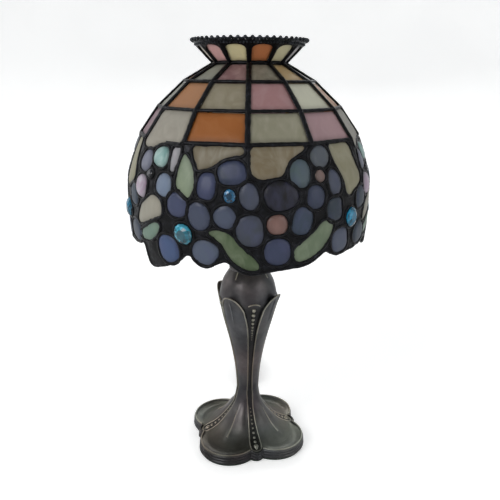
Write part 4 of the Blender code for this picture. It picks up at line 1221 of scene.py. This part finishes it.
def leaf_half(height):
    """Half the angle that a leaf spans at a height."""
    if height <= LEAF_SPREAD_Z:
        return curve(LEAF_HALF_LINE, height)
    t = min(1.0, (height - LEAF_SPREAD_Z) / (LEAF_TIP_Z - LEAF_SPREAD_Z))
    return 26 * (1 - 2 / math.pi * math.asin(t ** 1.25)) + 0.8


def core_radius(height):
    if height >= 146:
        return curve(BUD_LINE, height)
    low = curve(LEAF_GAP_LINE, height)
    return low + (curve(BUD_LINE, height) - low) * smooth((height - 134) / 12)


def leaf_heights():
    heights = list(np.arange(52, 136, 2.5))
    return heights + [LEAF_SPREAD_Z + (LEAF_TIP_Z - LEAF_SPREAD_Z) * math.sin(math.pi / 2 * i / 14)
                      for i in range(15)]


def leaf_radius(height, offset):
    """The leaf's outer face, offset degrees from its middle, with a short vein near its tip."""
    radius = curve(LEAF_LINE, height)
    across = math.radians(offset) * radius
    share = offset / leaf_half(height)
    vein = 1.0 * math.exp(-(across / 1.0) ** 2) * smooth((height - 122) / 8) * smooth((149 - height) / 4)
    hollow = 0.5 * smooth((height - 100) / 30) * (1 - share * share) * math.exp(-(across / 5) ** 2)
    return radius - 0.35 * share * share - hollow + vein


def leaf_shell(middle):
    heights, across = leaf_heights(), 24
    outer, inner = [], []
    for z in heights:
        for i in range(across + 1):
            offset = (2 * i / across - 1) * leaf_half(z)
            radius = leaf_radius(z, offset)
            outer.append(polar(radius, middle + offset, z))
            behind = min(core_radius(z) - 0.5, radius - 1.6) if z < 140 else radius - 1.9
            inner.append(polar(max(behind, 5.6), middle + offset, z - (0.6 if z > 140 else 0)))
    width = across + 1
    total = len(outer)
    faces = []
    for j in range(len(heights) - 1):
        for i in range(across):
            a, b = j * width + i, j * width + i + 1
            faces.append((a, b, b + width, a + width))
            faces.append((a + width + total, b + width + total, b + total, a + total))
    for j in range(len(heights) - 1):
        a, b = j * width, j * width + across
        faces.append((a, a + width, a + width + total, a + total))
        faces.append((b, b + total, b + width + total, b + width))
    top = (len(heights) - 1) * width
    for i in range(across):
        faces.append((i + 1, i, i + total, i + 1 + total))
        faces.append((top + i, top + i + 1, top + i + 1 + total, top + i + total))
    return outer + inner, faces


def make_column():
    sides = 96
    profile = [(core_radius(z), z) for z in list(np.arange(WAIST_Z - 6, 172, 2.0))]
    profile += [(16.6, 172), (17.1, 172.8), (17.2, 173.6), (16.8, 174.4), (16.0, 175.0), (15.7, 175.8),
                (15.3, DECK_Z)]
    profile += [(BORE_R, DECK_Z), (BORE_R, WAIST_Z - 6)]
    shell = turned_shell(profile, sides)
    bud = make_piece("column_bud", *shell, BRONZE_GROOVED, "root", "aged_bronze",
                     tint=groove_tint(shell, lambda p: 1 - smooth((p.z - 136) / 14)), sharp=45)
    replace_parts(bud, "column_casting")
    lines, beads = Shells(), Shells()
    for k, string in enumerate(STRINGS):
        leaf = make_piece(f"column_leaf_{k + 1}", *leaf_shell(string + 45), BRONZE, "root",
                          "aged_bronze", sharp=50)
        weld(leaf)
        heights = leaf_heights()
        path = [(z, -leaf_half(z)) for z in heights] + [(z, leaf_half(z)) for z in reversed(heights)]
        centres = [polar(leaf_radius(z, a) + 0.1, string + 45 + a, z) for z, a in path]
        centres = [Vector(p) for p in resample([tuple(c) for c in centres], 1.3, closed=False)]
        normals = [Vector((c.x, c.y, 0)).normalized() for c in centres]
        lines.add(tube_shell(centres, normals, 0.6, 0.65, closed=False, sides=8))
        for height, size in ((140, 1.85), (134.7, 1.8), (129.8, 1.6), (125.6, 1.4), (121.8, 1.25),
                             (118.4, 1.05), (115.4, 0.9), (112.8, 0.78), (110.4, 0.68), (108.2, 0.6)):
            radius = core_radius(height) + 0.4
            beads.add(ball_shell(polar(radius, string, height), size))
        arch = [(146.2 - 1.7 * (x / 5.2) ** 2, x) for x in np.linspace(-5.2, 5.2, 15)]
        centres = [polar(core_radius(z) + 0.2, string + math.degrees(x / core_radius(z)), z)
                   for z, x in arch]
        lines.add(tube_shell(centres, [Vector((c.x, c.y, 0)).normalized() for c in centres], 0.6, 0.7,
                             closed=False, sides=8))
        seam = [polar(core_radius(z) + 0.05, string + 45, z) for z in np.arange(166, 172.1, 1.2)]
        lines.add(tube_shell(seam, [Vector((c.x, c.y, 0)).normalized() for c in seam], 0.5, 0.5,
                             closed=False, sides=8))
    lines.build("column_raised_lines", BRONZE_WORN_AND_HIGHLIT, "root", "aged_bronze")
    beads.build("column_beads", BRONZE_WORN_AND_HIGHLIT, "root", "aged_bronze")


# ---- Metalwork inside the shade ------------------------------------------------------------------

HARP_X, HARP_WIRE_R = 30.0, 1.6


def spline_points(points, step):
    """A smooth path through the points, evenly spaced."""
    path = []
    count = len(points)
    for i in range(count - 1):
        p0, p1 = Vector(points[max(i - 1, 0)]), Vector(points[i])
        p2, p3 = Vector(points[i + 1]), Vector(points[min(i + 2, count - 1)])
        pieces = max(2, round((p2 - p1).length / step))
        for j in range(pieces):
            t = j / pieces
            path.append(0.5 * ((2 * p1) + (p2 - p0) * t + (2 * p0 - 5 * p1 + 4 * p2 - p3) * t * t
                               + (3 * p1 - p0 - 3 * p2 + p3) * t ** 3))
    path.append(Vector(points[-1]))
    return path


def wire_shell(points, radius, reference=Vector((0, 1, 0)), sides=14, step=3.0):
    """A round wire along a smooth path. reference is a direction the path never takes."""
    path = spline_points(points, step)
    return tube_shell(path, [reference] * len(path), radius, radius, closed=False, sides=sides)


def moved(shell, offset):
    vertices, faces = shell
    return [v + offset for v in vertices], faces


def make_harp():
    right = [(HARP_X, 194.6), (HARP_X, 203), (HARP_X, 212), (31.5, 222), (35.5, 246), (37.8, 268),
             (37, 290), (32.5, 310), (24.5, 327), (14, 338), (5, 342.6)]
    path = [(x, 0, z) for x, z in right] + [(0, 0, 343)] + [(-x, 0, z) for x, z in reversed(right)]
    bow = make_piece("harp_bow", *wire_shell(path, HARP_WIRE_R), BRASS, "harp", "brass")
    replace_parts(bow, "harp_wire")
    for side, x in (("left", -HARP_X), ("right", HARP_X)):
        profile = [(2.3, 190), (3.1, 190), (3.5, 190.5), (3.5, 192.2), (3.1, 192.6), (3.1, 193),
                   (3.5, 193.4), (3.5, 198.4), (3.1, 199), (2.3, 199)]
        sleeve = moved(turned_shell(profile, 32), Vector((x, 0, 0)))
        piece = make_piece(f"ferrule_sleeve_{side}", *sleeve, BRASS, f"ferrule_{side}", "brass",
                           sharp=35)
        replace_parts(piece, f"harp_ferrule_{side}")


def make_socket():
    cap = [(16.6, 203), (16.4, 199.5), (14, 196.5), (9, 194.2), (5.4, 193.5), (5.4, 184.6), (8.4, 184.6),
           (8.9, 185.2), (8.9, 190.8), (9.3, 192.2), (11.4, 193.6), (14.5, 195.2), (16.5, 197.4),
           (17.3, 199.6), (17.6, 201.2), (17.6, 203)]
    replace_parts(make_piece("socket_cap_spun", *turned_shell(cap), BRASS, "root", "brass", sharp=40),
                "socket_cap")
    shell = [(16.2, 233), (16.2, 203.4), (17.5, 203.4), (17.7, 204.2), (17.5, 205.2), (17.1, 206),
             (17.0, 207)]
    for ridge in range(3):
        z = 211 + 2.2 * ridge
        shell += [(17.0, z - 0.8), (17.4, z - 0.3), (17.4, z + 0.3), (17.0, z + 0.8)]
    shell += [(17.0, 229.5), (17.3, 231), (17.6, 232.2), (17.5, 233)]
    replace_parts(make_piece("socket_shell_spun", *turned_shell(shell), BRASS, "root", "brass", sharp=40),
                "socket_shell")


def make_bulb():
    outer = ((240.4, 13.4), (243, 13.6), (250, 15.6), (260, 19.6), (272, 23.2), (282, 24), (291.5, 21.4),
             (299, 15.8), (303.4, 8.4), (304.9, 3.0))
    profile = [(0.05, 304.0)]
    profile += [(curve(outer, z) - 1.0, z - 0.6) for z in (303.4, 299, 291.5, 282, 272, 260, 250, 243.6)]
    profile += [(12.4, 240.4)]
    heights = list(np.arange(240.4, 296, 2.4)) + [297, 299, 300.8, 302.3, 303.4, 304.3, 304.9]
    profile += [(curve(outer, z), z) for z in heights] + [(0.05, 305.0)]
    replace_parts(make_piece("bulb_envelope", *turned_shell(profile, 64), FROSTED, "bulb", "bulb_glass",
                           sharp=50), "bulb_glass")


def make_top_fittings():
    cap = [(3.5, 351.2), (14, 350.1), (26.2, 348.9), (27.0, 349.2), (26.9, 349.9), (24, 350.8), (14, 352.1),
           (8, 352.4), (3.5, 352.5)]
    cap = make_piece("heat_cap_spun", *turned_shell(cap, 72), BRONZE, "shade", "aged_bronze", sharp=35)
    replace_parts(cap, "heat_cap")
    rim = [(28.4, 346.2), (29.0, 346.2), (29.8, 347.4), (30.1, 348.2), (30.1, 349.0), (29.5, 349.8),
           (29.0, 350.6), (28.4, 350.6)]
    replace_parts(make_piece("neck_ring_soldered", *turned_shell(rim, 96), SOLDER, "shade",
                           "dark_solder", sharp=45), "neck_ring")
    profile = [(0.05, 362.7), (3.5, 362.7), (3.5, 352.8), (6.0, 352.8), (6.4, 353.1), (6.4, 353.8),
               (5.9, 354.4), (5.2, 355.0), (5.3, 355.8), (5.9, 356.6), (6.2, 357.5), (6.0, 358.6),
               (5.3, 359.8), (4.1, 360.8), (3.3, 361.6), (3.2, 362.3), (3.6, 363.2), (3.5, 364.3),
               (2.7, 365.3), (1.4, 365.85), (0.05, 366.0)]
    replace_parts(make_piece("finial_turned", *turned_shell(profile, 48), BRONZE_WORN_AND_HIGHLIT, "finial",
                           "aged_bronze", sharp=40), "finial")


# ---- Finishes of the pieces and of the CAD nodes that stay ----------------------------------------

SOLDER = lead("patinated_solder")
GALLERY = lead("stamped_gallery", dark=(24, 27, 31), light=(60, 64, 70), roughness=0.34)
BRONZE_TONES = (60, 59, 62), (98, 96, 96), (142, 139, 124)
BRONZE = cast_bronze("aged_bronze_cast", *BRONZE_TONES)
BRONZE_GROOVED = cast_bronze("aged_bronze_grooved", *BRONZE_TONES, hollows=True)
# the raised lines: lighter than the casting by real wear and by a painted highlight; fade darkens them up
# the column, most between 60 and 110 mm, and leaves them full near the foot's rim and from 140 mm up
BRONZE_WORN_AND_HIGHLIT = cast_bronze("aged_bronze_rubbed_and_highlit", (132, 129, 119), (168, 163, 149), (194, 188, 171),
                          0.06, 0.34, fade=((0.012, 1.0), (0.035, 0.75), (0.06, 0.5), (0.11, 0.55),
                                            (0.14, 1.0)))
BRASS = turned_metal("brass_spun", (176, 142, 84), 0.28, worn=(192, 160, 104))
STEEL = turned_metal("nickel_plate", (158, 160, 164), 0.26)
PLASTIC = moulded("brown_plastic_moulded", (62, 42, 30))
PHENOLIC = moulded("phenolic_moulded", (46, 34, 30), 0.5)
CARD = moulded("insulating_card", (160, 142, 112), 0.8)
FELT = moulded("pressed_felt", (52, 70, 58), 0.92)
FROSTED = moulded("frosted_bulb_glass", (236, 234, 226), 0.22)
GLASS = {
    CREAM: opal_glass("cream_opal_glass", 0.35, srgb(164, 160, 146)),
    PINK: opal_glass("pink_opal_glass", 0.35, srgb(172, 146, 146)),
    "rose": opal_glass("rose_opal_glass", 0.4, srgb(166, 152, 160)),
    ORANGE: opal_glass("orange_opal_glass", 0.3, srgb(160, 108, 66)),
    YELLOW: opal_glass("yellow_opal_glass", 0.35, srgb(178, 172, 146)),
    "green": opal_glass("green_opal_glass", 0.4, srgb(140, 150, 126)),
    "blue": opal_glass("blue_opal_glass", 0.4, srgb(72, 74, 106)),
    "pearl": opal_glass("pearl_glass", 0.6, srgb(190, 206, 202), 0.2),
    "satin": opal_glass("satin_pink_glass", 0.4, srgb(146, 116, 108), 0.28),
}
SLOTS = {CREAM: "cream_glass", PINK: "pink_glass", "rose": "pink_glass", ORANGE: "orange_glass",
         YELLOW: "cream_glass", "green": "cream_glass", "blue": "blue_glass", "pearl": "blue_glass",
         "satin": "pink_glass", "jewel": "blue_glass"}


def jewel_glass():
    """Faceted glass with painted reflections: each facet's tint makes it darker or lighter, and painted
    glints mottle it.
    """
    s = Shader("turquoise_jewel_glass", Roughness=0.1, Specular_IOR_Level=0.55, Coat_Weight=0.3,
               Coat_Roughness=0.05)
    base = s.node("ObjectInfo").outputs["Color"]
    # painted highlights and shade: each facet's tint makes it darker or up to half again lighter
    facet = s.grey_ramp(s.attribute("tint"), (0.0, 0.1), (0.35, 0.45), (0.7, 1.0), (1.0, 1.6))
    colour = s.mix(1.0, base, facet, "MULTIPLY")
    painted_glints = s.grey_ramp(s.noise(130, 2), (0.35, 0.6), (0.7, 1.3))
    return s.done(s.mix(1.0, colour, painted_glints, "MULTIPLY"))


GLASS["jewel"] = jewel_glass()

# ---- Cord, switch and plug -------------------------------------------------------------------------

CORD_R, CORD_EXIT_Z, TABLE_CORD_Z = 2.1, 4.9, 2.2
CORD_BEND = 7.0                  # radius of the bend under the pipe
CORD_RUN = Matrix.Rotation(math.radians(-12.1), 4, "Z")
SWITCH_AT, SWITCH_LENGTH, CORD_ENTRY_Z = 118.0, 58.0, 8.15
ROCKER_Z, ROCKER_TILT, ROCKER_HALF = 12.2, -8.0, 4.4
PLUG_AT, PLUG_MIDDLE_Z = 196.0, 8.2


def capped_shell(loops):
    """A skin through loops, counter-clockwise seen from beyond the last, capped at both ends."""
    size = len(loops[0])
    vertices = [p for loop in loops for p in loop]
    faces = [(i + k, i + (k + 1) % size, i + size + (k + 1) % size, i + size + k)
             for i in range(0, len(vertices) - size, size) for k in range(size)]
    faces.append(tuple(reversed(range(size))))
    faces.append(tuple(range(len(vertices) - size, len(vertices))))
    return vertices, faces


def squarish(wide, long, corner=0.3, points=64):
    """A rectangle with rounded corners, counter-clockwise."""
    return [(wide / 2 * math.copysign(abs(math.cos(a)) ** corner, math.cos(a)),
             long / 2 * math.copysign(abs(math.sin(a)) ** corner, math.sin(a)))
            for a in (2 * math.pi * (k + 0.5) / points for k in range(points))]


def cord_shell(points, radius=CORD_R):
    path = [Vector((p.x, p.y, max(p.z, TABLE_CORD_Z))) for p in spline_points(points, 2.5)]
    return tube_shell(path, [Vector((1, 0, 0))] * len(path), radius, radius, closed=False, sides=14)


def on_run(points):
    return [CORD_RUN @ Vector(p) for p in points]


def make_cord():
    bend = [(0, CORD_BEND * (1 - math.cos(a)), CORD_EXIT_Z + CORD_BEND * (1 - math.sin(a)))
            for a in np.linspace(0, math.pi / 2, 7)]
    reach = foot_reach(180)
    entry, leave = SWITCH_AT - SWITCH_LENGTH / 2, SWITCH_AT + SWITCH_LENGTH / 2
    path = [(0, 0, 203.5), (0, 0, 150), (0, 0, 80), (0, 0, 20)] + bend
    path += [(0, 30, CORD_EXIT_Z), (0, reach + 6, CORD_EXIT_Z), (0.6, reach + 11, 4.0)]
    path += on_run([(-6.5, reach + 17, 2.8), (-2.5, reach + 24, TABLE_CORD_Z),
                    (0, entry - 10, TABLE_CORD_Z), (0, entry - 5, 5.0), (0, entry - 1, CORD_ENTRY_Z),
                    (0, entry + 5, CORD_ENTRY_Z)])
    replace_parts(make_piece("cord_to_switch", *cord_shell(path), PLASTIC, "root", "brown_plastic"),
                "lamp_cord")
    path = on_run([(0, leave - 5, CORD_ENTRY_Z), (0, leave + 1, CORD_ENTRY_Z), (0, leave + 5, 5.5),
                   (0, leave + 11, TABLE_CORD_Z), (0, PLUG_AT - 16, TABLE_CORD_Z),
                   (0, PLUG_AT - 9, 4.6), (0, PLUG_AT - 4, PLUG_MIDDLE_Z - 0.8),
                   (0, PLUG_AT - 1, PLUG_MIDDLE_Z), (0, PLUG_AT + 5, PLUG_MIDDLE_Z)])
    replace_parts(make_piece("cord_to_plug", *cord_shell(path), PLASTIC, "root", "brown_plastic"),
                "plug_cord")
    collars = Shells()
    for end, outwards in ((entry, -1), (leave, 1)):
        collar = on_run([(0, end + outwards * y, z) for y, z in ((2.6, 7.0), (1.0, 7.9), (-2.0, 8.15))])
        collars.add(cord_shell(collar, 3.2))
    collars.build("switch_cord_collars", PLASTIC, "root", "brown_plastic")


def make_switch():
    def loops(profile):
        return [on_run([(x, SWITCH_AT + y, z) for x, y in squarish(wide, long)])
                for wide, long, z in profile]

    tray = ((15.5, 52.5, 0.3), (18.6, 55.6, 0.4), (20.2, 57.2, 1.0), (20.8, 57.8, 2.0), (21, 58, 3.2),
            (21, 58, 7.4), (20.7, 57.7, 7.7), (17.4, 54.4, 7.7), (17.4, 54.4, 2.3))
    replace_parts(make_piece("switch_tray", *capped_shell(loops(tray)), PLASTIC, "root",
                           "brown_plastic", sharp=40), "switch_base")
    cover = ((20.7, 57.7, 8.3), (21, 58, 8.6), (21, 58, 12.4), (20.7, 57.7, 13.6), (19.8, 56.8, 14.6),
             (18.4, 55.4, 15.2), (16.8, 53.8, 15.45), (12.4, 24, 15.5), (10.6, 20, 15.4),
             (9.9, 19.3, 15.0), (9.6, 19, 14.5), (9.6, 19, 13.7), (17.4, 54.4, 13.7),
             (17.4, 54.4, 8.3))
    sections = [list(section) for section in zip(*loops(cover))]
    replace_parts(make_piece("switch_lid", *loft_shell(sections), PLASTIC, "root", "brown_plastic",
                           sharp=40), "switch_cover")
    top = [(u, 4.0 + 1.4 * (u / 7.8) ** 2) for u in np.linspace(7.8, -7.8, 15)]
    outline = top + [(-7.9, 4.6), (-7.5, 2.2), (-3.4, -2.0), (-2.8, -2.2), (2.8, -2.2), (3.4, -2.0),
                     (7.5, 2.2), (7.9, 4.6)]
    tilt = Matrix.Rotation(math.radians(ROCKER_TILT), 4, "X")
    place = CORD_RUN @ Matrix.Translation((0, SWITCH_AT, ROCKER_Z)) @ tilt
    shape = [[place @ Vector((x * ROCKER_HALF, u * size, v * size)) for u, v in outline]
             for x, size in ((-1, 0.93), (-0.97, 0.965), (-0.9, 0.99), (-0.8, 1.0), (0.8, 1.0),
                             (0.9, 0.99), (0.97, 0.965), (1, 0.93))]
    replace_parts(make_piece("rocker_key", *capped_shell(shape), PHENOLIC, "rocker", "brown_plastic",
                           sharp=40), "switch_rocker")


def make_plug():
    stations = ((0, 8, 8), (0.5, 9, 9), (2.6, 9.6, 9.4), (5, 13, 11), (8, 20, 14.4), (11, 24, 15.8),
                (15, 25, 16), (20.5, 25, 16), (22.8, 24.4, 15.4), (23.7, 23.4, 14.4), (24, 22.4, 13.4))
    shape = [on_run([(-x, PLUG_AT + y, PLUG_MIDDLE_Z + z)
                     for x, z in squarish(wide, tall, 0.5 if y > 4 else 0.8)])
             for y, wide, tall in stations]
    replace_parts(make_piece("plug_moulding", *capped_shell(shape), PLASTIC, "root", "brown_plastic",
                           sharp=40), "plug_body")


def make_saddle():
    """The bent strip that carries the harp, wide where the pipe passes and narrow at its prongs."""
    line = [(-30, 1.5, 194), (-30, 1.5, 189), (-28.4, 2.6, 185), (-22, 4.6, 183.5), (-10, 6.5, 183.5),
            (0, 6.7, 183.5), (10, 6.5, 183.5), (22, 4.6, 183.5), (28.4, 2.6, 185), (30, 1.5, 189),
            (30, 1.5, 194)]
    path = spline_points(line, 1.5)
    shape = []
    for i, (x, half, z) in enumerate(path):
        before, after = path[max(i - 1, 0)], path[min(i + 1, len(path) - 1)]
        forwards = Vector((after.x - before.x, 0, after.z - before.z)).normalized()
        up = forwards.cross(Vector((0, 1, 0)))
        here = Vector((x, 0, z))
        shape.append([here + Vector((0, half * side, 0)) + up * (0.7 * lift)
                      for side, lift in ((1, -1), (1, 1), (-1, 1), (-1, -1))])
    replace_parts(make_piece("saddle_strip", *capped_shell(shape), BRASS, "root", "brass", sharp=30),
                "harp_saddle")


def finish_kept_nodes():
    finishes = {"felt": FELT, "brass": BRASS, "nickel": STEEL, "brown_plastic": PLASTIC,
                "phenolic": PHENOLIC, "card": CARD, "aged_bronze": BRONZE, "dark_solder": SOLDER,
                "bulb_glass": FROSTED, "blue_glass": GLASS["blue"], "cream_glass": GLASS[CREAM],
                "pink_glass": GLASS[PINK], "orange_glass": GLASS[ORANGE]}
    for name, node in frame["nodes"].items():
        slot = NODE_SLOTS[name]
        node.data.materials.clear()
        node.data.materials.append(finishes[slot])


PAPER_GLOW = 0.42                # lights the paper to the camera only, so that it reads as white


def floor_and_lights():
    rim, rise = 3000.0, 1500.0
    profile = [(0.0, -0.4), (rim - rise, -0.4)]
    profile += [(rim - rise + rise * math.sin(a), -0.4 + rise * (1 - math.cos(a)))
                for a in np.linspace(0.1, math.pi / 2, 14)]
    profile += [(rim, 3400.0)]
    sides = 96
    vertices = [Vector((0, 0, -0.4))]
    for r, z in profile[1:]:
        vertices += [polar(r, 360 * k / sides, z) for k in range(sides)]
    faces = [(0, 1 + k, 1 + (k + 1) % sides) for k in range(sides)]
    for i in range(len(profile) - 2):
        for k in range(sides):
            m = (k + 1) % sides
            a, b = 1 + i * sides, 1 + (i + 1) * sides
            faces.append((a + k, b + k, b + m, a + m))
    mesh = bpy.data.meshes.new("studio_cove")
    mesh.from_pydata([tuple(v * MM for v in vertex) for vertex in vertices], [],
                     outward(vertices, faces))
    mesh.shade_smooth()
    s = Shader("studio_paper", Roughness=0.9)
    tone = s.ramp(s.noise(3, 2), [(0.3, srgb(240, 240, 239)), (0.7, srgb(246, 246, 245))])
    to_camera = s.node("LightPath").outputs["Is Camera Ray"]
    s.set(s.surface, {"Emission_Color": (1.0, 1.0, 1.0, 1.0),
                      "Emission_Strength": s.math("MULTIPLY", to_camera, PAPER_GLOW)})
    mesh.materials.append(s.done(tone))
    cove = bpy.data.objects.new("studio_cove", mesh)
    bpy.context.scene.collection.objects.link(cove)

    world = bpy.data.worlds.new("studio")
    world.use_nodes = True
    world.node_tree.nodes["Background"].inputs["Color"].default_value = (0.93, 0.96, 1.0, 1)
    world.node_tree.nodes["Background"].inputs["Strength"].default_value = 0.45
    bpy.context.scene.world = world
    for name, size, power, place in (("key", 0.9, 13, (-1.25, -0.95, 1.15)),
                                     ("fill", 1.4, 6.5, (1.3, -1.4, 0.7)),
                                     ("back", 1.2, 8, (0.6, 1.7, 1.3)),
                                     ("side", 1.2, 5, (-1.6, 0.9, 0.9))):
        light = bpy.data.lights.new(name, "AREA")
        light.size = size
        light.energy = power
        lamp = bpy.data.objects.new(name, light)
        lamp.location = place
        lamp.rotation_euler = (Vector((0, 0, 0.2)) - Vector(place)).to_track_quat("-Z", "Y").to_euler()
        bpy.context.scene.collection.objects.link(lamp)
    bpy.context.scene.view_settings.view_transform = "Standard"


CAMERA_YAW, CAMERA_ROLL = 0.1, 0.4


def add_camera():
    camera_data = bpy.data.cameras.new("camera")
    camera_data.lens = 41.7
    camera_data.sensor_width = 36
    camera = bpy.data.objects.new("camera", camera_data)
    camera.location = (-0.1045, -0.4874, 0.3385)
    aim = Matrix.Rotation(math.radians(-12.37 + CAMERA_YAW), 4, "Z")
    aim = aim @ Matrix.Rotation(math.radians(90 - 16.73), 4, "X")
    aim = aim @ Matrix.Rotation(math.radians(CAMERA_ROLL), 4, "Z")
    camera.rotation_euler = aim.to_euler()
    bpy.context.scene.collection.objects.link(camera)
    bpy.context.scene.camera = camera


NODE_SLOTS = {part["node"]: part["material_slot"] for part in frame["record"]["subparts"]}
make_dome()
make_crown()
make_skirt()
make_foot()
make_column()
make_harp()
make_socket()
make_bulb()
make_top_fittings()
make_saddle()
make_cord()
make_switch()
make_plug()
finish_kept_nodes()
floor_and_lights()
add_camera()
